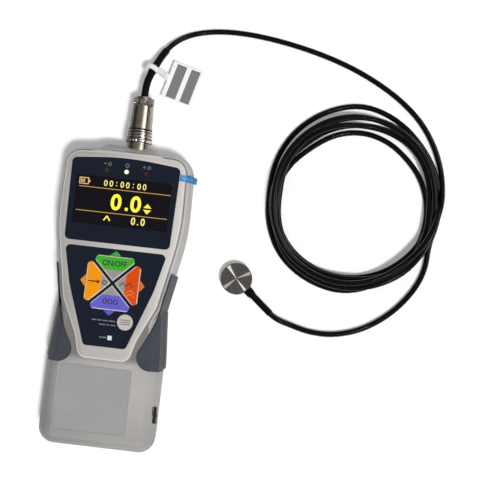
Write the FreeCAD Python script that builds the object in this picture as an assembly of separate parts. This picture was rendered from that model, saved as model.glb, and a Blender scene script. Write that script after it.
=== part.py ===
# Handheld force gauge with a remote disc load cell on a coiled lead.
# Millimetres. The gauge lies on its back on the plane z = 0, screen up,
# with its sensor socket towards +Y. The origin is the middle of the four
# mounting holes in its back.
import FreeCAD, Part
import math
import os

V = FreeCAD.Vector
UP = V(0, 0, 1)
ALONG = V(0, 1, 0)

# Housing: sizes across and along
BODY_LENGTH = 168.0
BODY_HEIGHT = 34.0
HEAD_WIDTH = 75.6
HEAD_TOP_WIDTH = 73.8
WAIST_WIDTH = 59.8
FOOT_WIDTH = 65.2
HEAD_Y = 39.0
WAIST_Y = -3.0
FOOT_TOP_Y = -36.0
HEAD_CORNER = 11.8
FOOT_CORNER = 9.0
HEAD_CROWN = 1.9

# Housing: heights and walls
PARTING_Z = 13.0
BELT_Z = BODY_HEIGHT - 14.0
BELT_TUCK = 0.6
SHOULDER_Z = BODY_HEIGHT - 8.0
DECK_Z = BODY_HEIGHT - 3.0
WALL = 2.2
ROOF = 2.6
SHOULDER_INSET = 2.6
DECK_INSET = 8.3
DECK_END_INSET = 6.0
BEZEL_SLOPE = 3.6
BEZEL_CREASE_Z = BODY_HEIGHT - 1.3
BEZEL_TOP_BAND = 2.6
LEDGE_Z = BODY_HEIGHT - 3.0
LEDGE_EDGE = 0.5
LIP_HEIGHT = 1.0
LIP_GAP = 0.1
BACK_ROUND = 4.5

# Raised bezel round the key panel
BEZEL_END_Y = -35.4
BEZEL_END_HALF = 14.0
BEZEL_NECK = (BEZEL_END_HALF + 3.3, -23.0)
BEZEL_HIP_Y = -3.5

# Overlays, screen and lamps
OVERLAY_DEPTH = 0.9
OVERLAY_THICK = 0.6
OVERLAY_GAP = 0.1
DISPLAY_TOP_Y = 74.3
DISPLAY_BOTTOM_Y = 28.7
DISPLAY_TOP_HALF = HEAD_TOP_WIDTH / 2 - 6.65
DISPLAY_BOTTOM_HALF = HEAD_WIDTH / 2 - 8.6
DISPLAY_CROWN = 3.0
DISPLAY_CORNER = 2.7
SCREEN_HALF = min(DISPLAY_TOP_HALF, DISPLAY_BOTTOM_HALF) - 2.5
SCREEN_TOP_Y = 65.2
SCREEN_BOTTOM_Y = 38.3
SCREEN_LEDGE = 1.4
PANEL_TOP_Y = 25.75
PANEL_TOP_HALF = HEAD_WIDTH / 2 - 9.5
PANEL_SIDE = (WAIST_WIDTH / 2 - 6.5, 4.8)
PANEL_BOTTOM_Y = -28.2
PANEL_BOTTOM_HALF = 11.7
PANEL_CORNER = 2.4
LAMP_Y = 69.2
LAMP_PITCH = 11.0
LAMP_RADIUS = 1.2
MODULE_MARGIN = 2.8
MODULE_THICK = 4.0

# Keys
KEY_CENTRE = (0.3, 7.0)
KEY_REACH = 14.9
KEY_GAP = 1.5
KEY_CORNER = 2.1
KEY_PROUD = 0.6
KEY_EDGE = 0.3
KEY_TRAVEL = 0.5
KEY_CLEARANCE = 0.2
KEY_FLANGE = 0.45
KEY_FLANGE_THICK = 0.8
KEY_STEM_RADIUS = 1.8
KEY_STEM_OUT = 9.0
MENU_X = 9.8
MENU_Y = -13.6
MENU_RADIUS = 4.4

# Rubber grips
GRIP_PROUD = 1.9
GRIP_DEPTH = 1.3
GRIP_GAP = 0.1
GRIP_BOTTOM_Z = 15.0
GRIP_TOP_Y = 17.0
GRIP_END_Y = -39.1
GRIP_LOBE_X = BEZEL_END_HALF - 0.4
GRIP_LOBE_ROUND = 7.1
GRIP_ROUND = 3.5
GRIP_WAIST_ROUND = 60.0
GRIP_HEEL = 2.3

# Bare plate on the lower front
PLATE_WIDTH = 39.6
PLATE_LENGTH = 35.7
PLATE_X = -3.2
PLATE_Y = -57.4
PLATE_THICK = 0.4
PLATE_RECESS = 0.3

# Board, switches, battery
BOARD_THICK = 1.6
BOARD_TOP_Z = BODY_HEIGHT - 12.6
BOARD_MARGIN = 5.8
BOARD_END_Y = 70.0
BOARD_POST_RADIUS = 2.5
BOARD_SCREW_RADIUS = 1.0
BOARD_HEAD = 1.3
BOARD_SCREW_PLACES = ((HEAD_WIDTH / 2 - 16.0, 30.0), (FOOT_WIDTH / 2 - 16.8, -62.0))
SWITCH_HEIGHT = 0.8
SWITCH_SIZE = 4.5
CELL_RADIUS = 7.0
CELL_LENGTH = 49.5
PACK_Y = -20.0
RIB_THICK = 1.6

# Screws and inserts in the back
SCREW_PLACES = ((FOOT_WIDTH / 2 - 8.3, -73.0), (HEAD_TOP_WIDTH / 2 - 9.0, 73.0))
SCREW_RADIUS = 1.5
SCREW_HEAD_RADIUS = 2.75
SCREW_HEAD_HEIGHT = 2.0
SCREW_HEAD_DEPTH = 4.0
SCREW_LENGTH = 16.0
BOSS_RADIUS = 3.6
SCREW_GAP = 0.15
INSERT_SPACING_X = 40.0
INSERT_SPACING_Y = 60.0
INSERT_HOLE_RADIUS = 2.0
INSERT_RADIUS = 3.0
INSERT_LENGTH = 8.0
INSERT_BOSS_RADIUS = 4.7

# Side port
PORT_Y = -62.4
PORT_LENGTH = 9.7
PORT_HEIGHT = 3.6
PORT_SHELL_LENGTH = 7.6
PORT_SHELL_HEIGHT = 3.8
PORT_Z = BOARD_TOP_Z + PORT_SHELL_HEIGHT / 2
PORT_GAP = 0.2
PORT_DEPTH = 8.0

# Sensor socket and plug on one axis
SOCKET_X = 3.7
SOCKET_Z = BODY_HEIGHT - 13.5
PAD_WIDTH = 28.0
PAD_REACH = 0.9
PAD_LOW_Z = 5.0
PAD_FACE_Z = BODY_HEIGHT - 10.0
PAD_HIGH_Z = BODY_HEIGHT - 1.6
PAD_SLANT = 9.0
PAD_CORNER = 7.0
SOCKET_THREAD_RADIUS = 6.0
SOCKET_BORE_RADIUS = 4.6
SOCKET_COLLAR_RADIUS = 6.7
SOCKET_COLLAR = 2.6
SOCKET_COLLAR_SINK = 2.4
SOCKET_THREAD_OUT = 6.2
SOCKET_NUT_RADIUS = 8.2
SOCKET_NUT_THICK = 2.4
SOCKET_BACK = 3.5
INNER_PAD_Y = 79.4
PLUG_FIT = 0.08
PLUG_WALL = 0.6
PIN_COUNT = 6
PIN_CIRCLE = 2.6
PIN_RADIUS = 0.45
PIN_LENGTH = 3.0
PIN_GAP = 0.1
NUT_RADIUS = 7.5
NUT_LENGTH = 7.5
NUT_LIP = 1.2
NUT_GROOVES = 4
NUT_GROOVE_DEPTH = 0.7
NUT_FLUTES = 14
BARREL_RADIUS = 6.5
BARREL_END_RADIUS = 6.0
BARREL_LENGTH = 13.7
CLAMP_RADIUS = 4.3
CLAMP_LENGTH = 4.8
CLAMP_SCREW_RADIUS = 1.25
CLAMP_SCREW_OUT = 3.9

# Lead
CORD_RADIUS = 1.6
SLEEVE_RADIUS = 2.1
FLOOR_CLEAR = 0.05
LEAD_Z = CORD_RADIUS + FLOOR_CLEAR
PLUG_EXIT = (SOCKET_X, 113.8, SOCKET_Z)
LEAD_ROUTE = [
    PLUG_EXIT,
    (SOCKET_X, 122.0, SOCKET_Z),
    (5.7, 129.2, SOCKET_Z * 0.89),
    (7.8, 135.6, SOCKET_Z * 0.73),
    (10.5, 142.8, SOCKET_Z * 0.51),
    (14.8, 150.2, SOCKET_Z * 0.3),
    (22.0, 156.2, SOCKET_Z * 0.15),
    (32.6, 160.0, LEAD_Z),
    (46.0, 161.6, LEAD_Z),
    (62.0, 161.1, LEAD_Z),
    (81.0, 158.5, LEAD_Z),
    (100.5, 154.2, LEAD_Z),
    (119.2, 148.2, LEAD_Z),
    (136.0, 140.4, LEAD_Z),
    (150.5, 131.4, LEAD_Z),
    (162.4, 120.8, LEAD_Z),
    (170.6, 108.8, LEAD_Z),
    (175.8, 96.5, LEAD_Z),
    (178.1, 85.2, LEAD_Z),
    (177.7, 75.2, LEAD_Z),
    (175.6, 66.4, LEAD_Z),
]
SLEEVE_LAST = 4
SLEEVE_SHARE = 0.3
TAIL_ROUTE = [
    (171.6, 57.5, LEAD_Z),
    (173.7, 48.9, LEAD_Z),
    (173.6, 38.9, LEAD_Z),
    (170.7, 28.6, LEAD_Z),
    (164.4, 18.0, LEAD_Z),
    (154.5, 7.1, LEAD_Z),
    (141.0, -2.1, LEAD_Z),
    (125.8, -6.9, LEAD_Z),
    (111.6, -6.9, LEAD_Z),
    (100.2, -4.0, 2.3),
]
COIL_CENTRE = (128.9, 72.2)
COIL_ACROSS = 50.4
COIL_ALONG = 55.0
COIL_TURN = 6.5
COIL_HOLE_CENTRE = (128.3, 70.9)
COIL_HOLE_RADIUS = 40.6
COIL_HEIGHT = 9.0

# Load cell at the far end
CELL_CENTRE = (66.8, 18.7)
DISC_RADIUS = 9.0
DISC_THICK = 6.0
DISC_EDGE = 0.5
BUTTON_RADIUS = 3.5
BUTTON_HEIGHT = 1.0
BUTTON_EDGE = 0.3
COVER_RADIUS = 7.2
COVER_SINK = 0.6
GLAND_DIRECTION = -39.6
GLAND_RADIUS = 2.6
GLAND_LENGTH = 5.0
SENSOR_SLEEVE_RADIUS = 1.9
SENSOR_SLEEVE_LENGTH = 14.0

# Flag label on the plug's sleeve
TAG_RING_WIDTH = 3.0
TAG_THICK = 0.4
TAG_GAP = 0.12
TAG_LOOP_WIDTH = 3.6
TAG_LOOP_RADIUS = 3.9
TAG_LOOP_SHIFT = 1.6
TAG_NECK_WIDTH = 4.4
TAG_WIDTH = 18.0
TAG_LENGTH = 22.0
TAG_CENTRE = (22.8, 127.1, 6.4)
TAG_TURN = -14.6
TAG_DIP = 4.0

# Blue pull tab of the screen film
FILM_WIDTH = 3.8
FILM_THICK = 0.2
FILM_Y = 69.3
FILM_TURN = -1.5
FILM_OUT = 6.0
FILM_DROP = 10.0

ROOF_Z = BODY_HEIGHT - ROOF
OVERLAY_FLOOR_Z = BODY_HEIGHT - OVERLAY_DEPTH
OVERLAY_TOP_Z = OVERLAY_FLOOR_Z + OVERLAY_THICK
BOARD_LOW_Z = BOARD_TOP_Z - BOARD_THICK
END_Y = BODY_LENGTH / 2
PAD_Y = END_Y + PAD_REACH


def box(low, high):
    return Part.makeBox(high[0] - low[0], high[1] - low[1], high[2] - low[2], V(*low))


def cylinder(radius, start, length, axis=UP):
    return Part.makeCylinder(radius, length, V(*start), axis)


def tube_ring(outer, inner, start, length, axis=UP):
    return cylinder(outer, start, length, axis).cut(cylinder(inner, start, length, axis))


def both_sides(places):
    return [(side * x, y) for x, y in places for side in (-1, 1)]


def mirrored(half):
    # A closed outline from its right half, listed from the front end up
    return half + [(-x, y, r, i) for x, y, r, i in reversed(half) if x > 0]


def offset_outline(corners, distances):
    # Each corner is (x, y, radius, edge group of the side that follows it).
    # A side moves inwards by its group's distance, and radii follow.
    count = len(corners)
    lines = []
    for k in range(count):
        ax, ay, _, group = corners[k]
        bx, by = corners[(k + 1) % count][:2]
        length = math.hypot(bx - ax, by - ay)
        nx, ny = -(by - ay) / length, (bx - ax) / length
        shift = distances[group]
        lines.append((nx, ny, nx * ax + ny * ay + shift))
    result = []
    for k in range(count):
        n1x, n1y, c1 = lines[k - 1]
        n2x, n2y, c2 = lines[k]
        cross = n1x * n2y - n1y * n2x
        x = (c1 * n2y - c2 * n1y) / cross
        y = (n1x * c2 - n2x * c1) / cross
        near = (distances[corners[k - 1][3]] + distances[corners[k][3]]) / 2
        turn = 1 if cross > 0 else -1
        result.append((x, y, max(corners[k][2] - turn * near, 0.3), corners[k][3]))
    return result


def outline_wire(corners, z):
    # Straight sides joined by tangent arcs
    count = len(corners)
    stops = []
    for k in range(count):
        px, py = corners[k - 1][:2]
        x, y, radius = corners[k][:3]
        qx, qy = corners[(k + 1) % count][:2]
        a = V(px - x, py - y, 0).normalize()
        b = V(qx - x, qy - y, 0).normalize()
        half = math.acos(max(-1.0, min(1.0, a.dot(b)))) / 2
        reach = radius / math.tan(half)
        middle = (a + b).normalize()
        here = V(x, y, z)
        arc_mid = here + middle * (radius / math.sin(half) - radius)
        stops.append((here + a * reach, arc_mid, here + b * reach))
    edges = []
    for k in range(count):
        start, mid, end = stops[k]
        edges.append(Part.Arc(start, mid, end).toShape())
        edges.append(Part.LineSegment(end, stops[(k + 1) % count][0]).toShape())
    return Part.Wire(edges)


def stack(corners, levels):
    # One solid through outlines at several heights: (z, distances by group)
    wires = [outline_wire(offset_outline(corners, d), z) for z, d in levels]
    return Part.makeLoft(wires, True, True)


def slab(corners, low, high, inset=0.0):
    groups = max(c[3] for c in corners) + 1
    return stack(corners, [(low, [inset] * groups), (high, [inset] * groups)])


def plain(points, radius):
    return [(x, y, radius, 0) for x, y in points]


SIDE, FOOT_END = 0, 1


def tuck(z):
    # How far the walls have drawn in at a height under the belt line
    return BELT_TUCK * (BELT_Z - z) / (BELT_Z - PARTING_Z)


def body_outline():
    return mirrored([
        (FOOT_WIDTH / 2, -END_Y, FOOT_CORNER, SIDE),
        (FOOT_WIDTH / 2, FOOT_TOP_Y, 150.0, SIDE),
        (WAIST_WIDTH / 2, WAIST_Y, 80.0, SIDE),
        (HEAD_WIDTH / 2, HEAD_Y, 120.0, SIDE),
        (HEAD_TOP_WIDTH / 2, END_Y - HEAD_CROWN, HEAD_CORNER, SIDE),
        (0, END_Y, 200.0, SIDE),
    ])[:-1] + [(-FOOT_WIDTH / 2, -END_Y, FOOT_CORNER, FOOT_END)]


def foot_outline():
    # The lower half of the body, which ends under the bezel
    return [
        (FOOT_WIDTH / 2, -END_Y, FOOT_CORNER, 0),
        (FOOT_WIDTH / 2, FOOT_TOP_Y, 150.0, 0),
        (WAIST_WIDTH / 2, WAIST_Y, 1.0, 2),
        (-WAIST_WIDTH / 2, WAIST_Y, 1.0, 0),
        (-FOOT_WIDTH / 2, FOOT_TOP_Y, 150.0, 0),
        (-FOOT_WIDTH / 2, -END_Y, FOOT_CORNER, 1),
    ]


def bezel_outline():
    # The crease line of the raised bezel, a slope's width inside the body
    rise = (HEAD_WIDTH - WAIST_WIDTH) / 2 / (HEAD_Y - WAIST_Y)
    hip = WAIST_WIDTH / 2 + rise * (BEZEL_HIP_Y - WAIST_Y) - BEZEL_SLOPE
    return mirrored([
        (BEZEL_END_HALF, BEZEL_END_Y, 5.5, 0),
        (BEZEL_NECK[0], BEZEL_NECK[1], 22.0, 0),
        (hip, BEZEL_HIP_Y, 14.0, 0),
        (HEAD_WIDTH / 2 - BEZEL_SLOPE, HEAD_Y, 116.0, 0),
        (HEAD_TOP_WIDTH / 2 - BEZEL_SLOPE, END_Y - HEAD_CROWN - BEZEL_SLOPE,
         HEAD_CORNER - BEZEL_SLOPE, 0),
        (0, END_Y - BEZEL_SLOPE, 200.0, 0),
    ])


def front_form(grow, low_z=PARTING_Z):
    # The outside of the front cover, moved out by grow (in when negative)
    drop = min(grow, 0.0) * ROOF / WALL
    top = BODY_HEIGHT + drop + max(grow, 0.0)
    lift = top - BODY_HEIGHT
    low = tuck(low_z)
    bezel = stack(bezel_outline(), [
        (low_z, [low - BEZEL_SLOPE - grow]),
        (BELT_Z, [-BEZEL_SLOPE - grow]),
        (LEDGE_Z - 1.6 + lift, [-BEZEL_SLOPE / 2 - grow]),
        (LEDGE_Z + lift, [-LEDGE_EDGE - grow]),
        (LEDGE_Z + 0.3 + lift, [-0.1 - grow]),
        (BEZEL_CREASE_Z + lift, [0.1 - grow]),
        (BEZEL_CREASE_Z + 0.4 + lift, [0.4 - grow]),
        (top, [BEZEL_TOP_BAND - grow]),
    ])
    deck = stack(foot_outline(), [
        (low_z, [low - grow, low - grow, 1.0]),
        (BELT_Z, [-grow, -grow, 1.0]),
        (SHOULDER_Z - 0.4 + lift, [SHOULDER_INSET - 0.1 - grow, SHOULDER_INSET * 0.7 - grow, 1.0]),
        (SHOULDER_Z + 0.4 + lift, [SHOULDER_INSET + 0.5 - grow, SHOULDER_INSET * 0.7 + 0.4 - grow, 1.0]),
        (DECK_Z - 0.3 + lift, [DECK_INSET - 0.6 - grow, DECK_END_INSET - 0.5 - grow, 1.0]),
        (DECK_Z + lift, [DECK_INSET - grow, DECK_END_INSET - grow, 1.0]),
    ])
    return bezel.fuse(deck)


def pad_form(low, face, high):
    # The seat of the sensor socket on the end wall: upright to the height
    # called face, and leaning back above it
    half = PAD_WIDTH / 2
    base = END_Y - HEAD_CROWN - BEZEL_SLOPE - 2.0
    corners = [(-half - PAD_SLANT, base, 0.5, 0), (half + PAD_SLANT, base, 0.5, 0),
               (half, PAD_Y, PAD_CORNER, 1), (-half, PAD_Y, PAD_CORNER, 0)]
    levels = [(low, [0.0, 0.0]), (face, [0.0, 0.0])]
    if high > face:
        levels.append((high, [0.0, PAD_REACH + BEZEL_SLOPE + 0.3]))
    return stack(corners, levels)


def grip_outline(side, grow=0.0):
    foot, waist = FOOT_WIDTH / 2, WAIST_WIDTH / 2
    clear = HEAD_WIDTH / 2 + 6.0
    points = [
        (GRIP_LOBE_X, GRIP_END_Y, GRIP_LOBE_ROUND, 0),
        (foot - 1.4, GRIP_END_Y + 0.5, GRIP_ROUND, 0),
        (foot + GRIP_HEEL, GRIP_END_Y + 4.0, GRIP_ROUND * 0.6, 0),
        (clear, GRIP_END_Y + 8.0, GRIP_ROUND * 0.3, 0),
        (clear, GRIP_TOP_Y - 12.0, GRIP_ROUND * 0.3, 0),
        (waist + 3.3, GRIP_TOP_Y, GRIP_ROUND * 0.3, 0),
        (waist - 0.7, WAIST_Y - 1.5, GRIP_WAIST_ROUND, 0),
        (waist - 5.2, WAIST_Y - 14.8, GRIP_WAIST_ROUND, 0),
    ]
    outline = offset_outline(points, [-grow])
    if side < 0:
        outline = [(-x, y, r, i) for x, y, r, i in reversed(outline)]
    return outline


def grip_block(side, grow, low_z):
    return slab(grip_outline(side, grow), low_z, BODY_HEIGHT + 5)


def side_grip(side):
    shell = front_form(GRIP_PROUD).cut(front_form(-GRIP_DEPTH + GRIP_GAP, 0.0))
    return shell.common(grip_block(side, 0.0, GRIP_BOTTOM_Z))


def display_outline():
    return mirrored([
        (DISPLAY_BOTTOM_HALF, DISPLAY_BOTTOM_Y, DISPLAY_CORNER, 0),
        (DISPLAY_TOP_HALF, DISPLAY_TOP_Y, DISPLAY_CORNER, 0),
        (0, DISPLAY_TOP_Y + DISPLAY_CROWN, 150.0, 0),
    ])


def screen_outline():
    return plain([
        (-SCREEN_HALF, SCREEN_BOTTOM_Y), (SCREEN_HALF, SCREEN_BOTTOM_Y),
        (SCREEN_HALF, SCREEN_TOP_Y), (-SCREEN_HALF, SCREEN_TOP_Y)], 0.6)


def panel_outline():
    return mirrored([
        (PANEL_BOTTOM_HALF, PANEL_BOTTOM_Y, PANEL_CORNER, 0),
        (PANEL_SIDE[0], PANEL_SIDE[1], 40.0, 0),
        (PANEL_TOP_HALF, PANEL_TOP_Y, PANEL_CORNER, 0),
    ])


def arrow_key_outline(quarter_turns):
    # A rounded triangle that points at the middle of the key group
    apex = KEY_GAP / math.sqrt(2)
    half = KEY_REACH - apex
    shape = [(0, apex, 0.5), (half, KEY_REACH, KEY_CORNER), (-half, KEY_REACH, KEY_CORNER)]
    angle = math.radians(90 * quarter_turns)
    c, s = math.cos(angle), math.sin(angle)
    cx, cy = KEY_CENTRE
    return [(cx + c * x - s * y, cy + s * x + c * y, r, 0) for x, y, r in shape]


def menu_key_outline():
    r = MENU_RADIUS
    corners = [(r, -r), (r, r), (-r, r), (-r, -r)]
    return [(MENU_X + x, MENU_Y + y, r - 0.02, 0) for x, y in corners]


def stem_place(name):
    turn = {"power_key": 0, "send_key": 1, "zero_key": 2, "peak_key": 3}
    if name not in turn:
        return MENU_X, MENU_Y
    angle = math.radians(90 * turn[name])
    cx, cy = KEY_CENTRE
    return cx - math.sin(angle) * KEY_STEM_OUT, cy + math.cos(angle) * KEY_STEM_OUT


KEYS = {
    "power_key": arrow_key_outline(0),
    "send_key": arrow_key_outline(1),
    "zero_key": arrow_key_outline(2),
    "peak_key": arrow_key_outline(3),
    "menu_key": menu_key_outline(),
}


def key(name):
    top = OVERLAY_TOP_Z + KEY_PROUD
    flange_top = ROOF_Z - KEY_CLEARANCE
    flange_low = flange_top - KEY_FLANGE_THICK
    cap = stack(KEYS[name], [
        (flange_top - 0.1, [0.0]), (top - KEY_EDGE, [0.0]), (top, [KEY_EDGE])])
    flange = slab(KEYS[name], flange_low, flange_top, -KEY_FLANGE)
    x, y = stem_place(name)
    foot_z = BOARD_TOP_Z + SWITCH_HEIGHT + KEY_TRAVEL + 0.1
    stem = cylinder(KEY_STEM_RADIUS, (x, y, foot_z), flange_low - foot_z + 0.1)
    return cap.fuse([flange, stem])


def screw_bosses(low, high, radius=BOSS_RADIUS):
    return [cylinder(radius, (x, y, low), high - low) for x, y in both_sides(SCREW_PLACES)]


def insert_places():
    return both_sides([(INSERT_SPACING_X / 2, s * INSERT_SPACING_Y / 2) for s in (-1, 1)])


def socket_axis(radius, start, end):
    return cylinder(radius, (SOCKET_X, start, SOCKET_Z), end - start, ALONG)


def front_cover():
    shell = front_form(0.0).fuse(pad_form(PARTING_Z, PAD_FACE_Z, PAD_HIGH_Z))
    cavity = front_form(-WALL, PARTING_Z - 1.0)
    seat = box((SOCKET_X - 10, INNER_PAD_Y, PARTING_Z), (SOCKET_X + 10, END_Y - 1.5, ROOF_Z + 0.5))
    shell = shell.cut(cavity.cut(seat))
    # Posts for the housing screws and for the board
    posts = screw_bosses(PARTING_Z, ROOF_Z + 0.5)
    for x, y in both_sides(BOARD_SCREW_PLACES):
        roof = ROOF_Z if y > BEZEL_END_Y else DECK_Z - ROOF
        posts.append(cylinder(BOARD_POST_RADIUS, (x, y, BOARD_TOP_Z), roof + 0.5 - BOARD_TOP_Z))
    shell = shell.fuse([post.common(front_form(-0.6)) for post in posts])
    cuts = [cylinder(SCREW_RADIUS + 0.02, (x, y, PARTING_Z - 1), SCREW_LENGTH - PARTING_Z + 6)
            for x, y in both_sides(SCREW_PLACES)]
    cuts += [cylinder(BOARD_SCREW_RADIUS + 0.02, (x, y, BOARD_TOP_Z - 1), 4.6)
             for x, y in both_sides(BOARD_SCREW_PLACES)]
    # Rebate for the rear cover's lip
    rebate_inset = BELT_TUCK + WALL / 2 - LIP_GAP
    rebate = slab(body_outline(), PARTING_Z - 1, PARTING_Z + LIP_HEIGHT + LIP_GAP, rebate_inset)
    cuts.append(rebate)
    # Overlay recesses, screen opening, lamp and key holes
    high = BODY_HEIGHT + 1
    cuts.append(slab(display_outline(), OVERLAY_FLOOR_Z, high, -OVERLAY_GAP))
    cuts.append(slab(panel_outline(), OVERLAY_FLOOR_Z, high, -OVERLAY_GAP))
    cuts.append(slab(screen_outline(), ROOF_Z - 1, high, SCREEN_LEDGE))
    cuts += [cylinder(LAMP_RADIUS + OVERLAY_GAP, (x, LAMP_Y, ROOF_Z - 1), 4) for x in lamp_xs()]
    cuts += [slab(outline, ROOF_Z - 1, high, -KEY_CLEARANCE) for outline in KEYS.values()]
    # Pockets for the grips, the bare plate's recess, the socket and the port
    inner = front_form(-GRIP_DEPTH, 0.0)
    cuts += [grip_block(side, GRIP_GAP, GRIP_BOTTOM_Z - GRIP_GAP).cut(inner) for side in (-1, 1)]
    cuts.append(slab(plate_outline(), DECK_Z - PLATE_RECESS, DECK_Z + 1, -OVERLAY_GAP))
    cuts.append(socket_axis(SOCKET_THREAD_RADIUS + 0.05, INNER_PAD_Y - 1, PAD_Y + 1))
    cuts.append(socket_axis(SOCKET_NUT_RADIUS + 0.4, INNER_PAD_Y - 6, INNER_PAD_Y))
    cuts.append(socket_axis(SOCKET_COLLAR_RADIUS + 0.05, PAD_Y - SOCKET_COLLAR_SINK, PAD_Y + 1))
    cuts += [port_slot(PORT_MOUTH - 1.0, FOOT_WIDTH / 2 + 1, 0.0), port_block(PORT_GAP)]
    return shell.cut(cuts)


def rear_cover():
    outline = body_outline()
    shell = stack(outline, [
        (0.0, [BACK_ROUND, BACK_ROUND]), (0.5, [BACK_ROUND * 0.62] * 2), (1.7, [BACK_ROUND * 0.27] * 2),
        (BACK_ROUND, [BELT_TUCK + 0.5] * 2), (PARTING_Z, [BELT_TUCK] * 2)])
    shell = shell.fuse(pad_form(PAD_LOW_Z, PARTING_Z, PARTING_Z))
    lip = slab(outline, PARTING_Z - 1, PARTING_Z + LIP_HEIGHT, BELT_TUCK + WALL / 2)
    cavity = stack(outline, [
        (WALL, [BACK_ROUND + 0.5] * 2), (WALL + 2.5, [BELT_TUCK + WALL + 0.7] * 2),
        (PARTING_Z + 5, [BELT_TUCK + WALL] * 2)])
    shell = shell.fuse(lip).cut(cavity)
    bosses = screw_bosses(0.5, PARTING_Z)
    bosses += [cylinder(INSERT_BOSS_RADIUS, (x, y, 0.5), INSERT_LENGTH + 1) for x, y in insert_places()]
    # Ribs that hold the battery pack at its ends and sides
    reach = CELL_LENGTH + 0.4
    width = 2 * CELL_RADIUS + 0.6
    for end in (-1, 1):
        edge = PACK_Y + end * reach
        low, high = sorted((edge, edge + end * RIB_THICK))
        bosses.append(box((-width, low, WALL - 0.5), (width, high, WALL + CELL_RADIUS)))
        for y in (PACK_Y - reach / 2, PACK_Y + reach / 2):
            low, high = sorted((end * width, end * (width - RIB_THICK * 0.5)))
            shift = end * 0.6
            bosses.append(box((low + shift, y - 6, WALL - 0.5), (high + shift, y + 6, WALL + CELL_RADIUS)))
    shell = shell.fuse(bosses)
    cuts = []
    for x, y in both_sides(SCREW_PLACES):
        cuts.append(cylinder(SCREW_RADIUS + SCREW_GAP, (x, y, -1), PARTING_Z + 3))
        cuts.append(cylinder(SCREW_HEAD_RADIUS + SCREW_GAP, (x, y, -1), SCREW_HEAD_DEPTH + 1))
    cuts += [cylinder(INSERT_RADIUS, (x, y, -1), INSERT_LENGTH + 1) for x, y in insert_places()]
    cuts.append(socket_axis(SOCKET_NUT_RADIUS + 0.4, INNER_PAD_Y - 6, INNER_PAD_Y + 0.2))
    return shell.cut(cuts)


def lamp_xs():
    return [0.5 + k * LAMP_PITCH for k in (-1, 0, 1)]


def plate_outline():
    w, l = PLATE_WIDTH / 2, PLATE_LENGTH / 2
    corners = ((-w, -l), (w, -l), (w, l), (-w, l))
    return plain([(PLATE_X + x, PLATE_Y + y) for x, y in corners], 1.6)


def port_slot(start_x, end_x, grow):
    half, radius = PORT_LENGTH / 2 + grow, PORT_HEIGHT / 2 + grow
    flat = half - radius
    ends = [cylinder(radius, (start_x, PORT_Y + s * flat, PORT_Z), end_x - start_x, V(1, 0, 0))
            for s in (-1, 1)]
    middle = box((start_x, PORT_Y - flat, PORT_Z - radius), (end_x, PORT_Y + flat, PORT_Z + radius))
    return middle.fuse(ends)


PORT_MOUTH = FOOT_WIDTH / 2 - SHOULDER_INSET - WALL - 0.3
PORT_SHELL_Y = PORT_Y + (PORT_LENGTH - PORT_SHELL_LENGTH) / 2


def port_block(grow):
    # The space that the port's metal shell takes up on the board
    l, h = PORT_SHELL_LENGTH / 2 + grow, PORT_SHELL_HEIGHT / 2
    return box((PORT_MOUTH - PORT_DEPTH, PORT_SHELL_Y - l, PORT_Z - h),
               (PORT_MOUTH + grow, PORT_SHELL_Y + l, PORT_Z + h + grow))


def usb_port():
    back, y, z = PORT_MOUTH - PORT_DEPTH, PORT_SHELL_Y, PORT_Z
    l, h = PORT_SHELL_LENGTH / 2 - 0.4, PORT_SHELL_HEIGHT / 2 - 0.4
    hollow = box((back + 2, y - l, z - h), (PORT_MOUTH + 1, y + l, z + h))
    tongue = box((back + 1.5, y - l + 1.2, z - 0.4), (PORT_MOUTH - 0.6, y + l - 1.2, z + 0.4))
    return port_block(0.0).cut(hollow).fuse(tongue)


def display_overlay():
    plate = slab(display_outline(), OVERLAY_FLOOR_Z, OVERLAY_TOP_Z)
    cuts = [slab(screen_outline(), OVERLAY_FLOOR_Z - 1, OVERLAY_TOP_Z + 1)]
    cuts += [cylinder(LAMP_RADIUS + OVERLAY_GAP / 2, (x, LAMP_Y, OVERLAY_FLOOR_Z - 1), 4) for x in lamp_xs()]
    return plate.cut(cuts)


def display_lens():
    return slab(screen_outline(), OVERLAY_FLOOR_Z, OVERLAY_TOP_Z, 0.05)


def keypad_overlay():
    plate = slab(panel_outline(), OVERLAY_FLOOR_Z, OVERLAY_TOP_Z)
    return plate.cut([slab(k, OVERLAY_FLOOR_Z - 1, OVERLAY_TOP_Z + 1, -KEY_CLEARANCE) for k in KEYS.values()])


def oled_module():
    m = MODULE_MARGIN
    low = (-SCREEN_HALF - m, SCREEN_BOTTOM_Y - m, ROOF_Z - MODULE_THICK)
    high = (SCREEN_HALF + m, SCREEN_TOP_Y + m * 0.8, ROOF_Z - 1.2)
    carrier = box(low, high)
    glass = slab(screen_outline(), ROOF_Z - 1.2, ROOF_Z, -0.8)
    header = box((-14, low[1] + 0.8, BOARD_TOP_Z), (14, low[1] + 3.2, low[2]))
    return carrier.fuse([glass, header])


def lamp(k):
    return cylinder(LAMP_RADIUS, (lamp_xs()[k], LAMP_Y, BOARD_TOP_Z), OVERLAY_TOP_Z + 0.05 - BOARD_TOP_Z)


def label_plate():
    floor = DECK_Z - PLATE_RECESS
    return slab(plate_outline(), floor, floor + PLATE_THICK)


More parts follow.
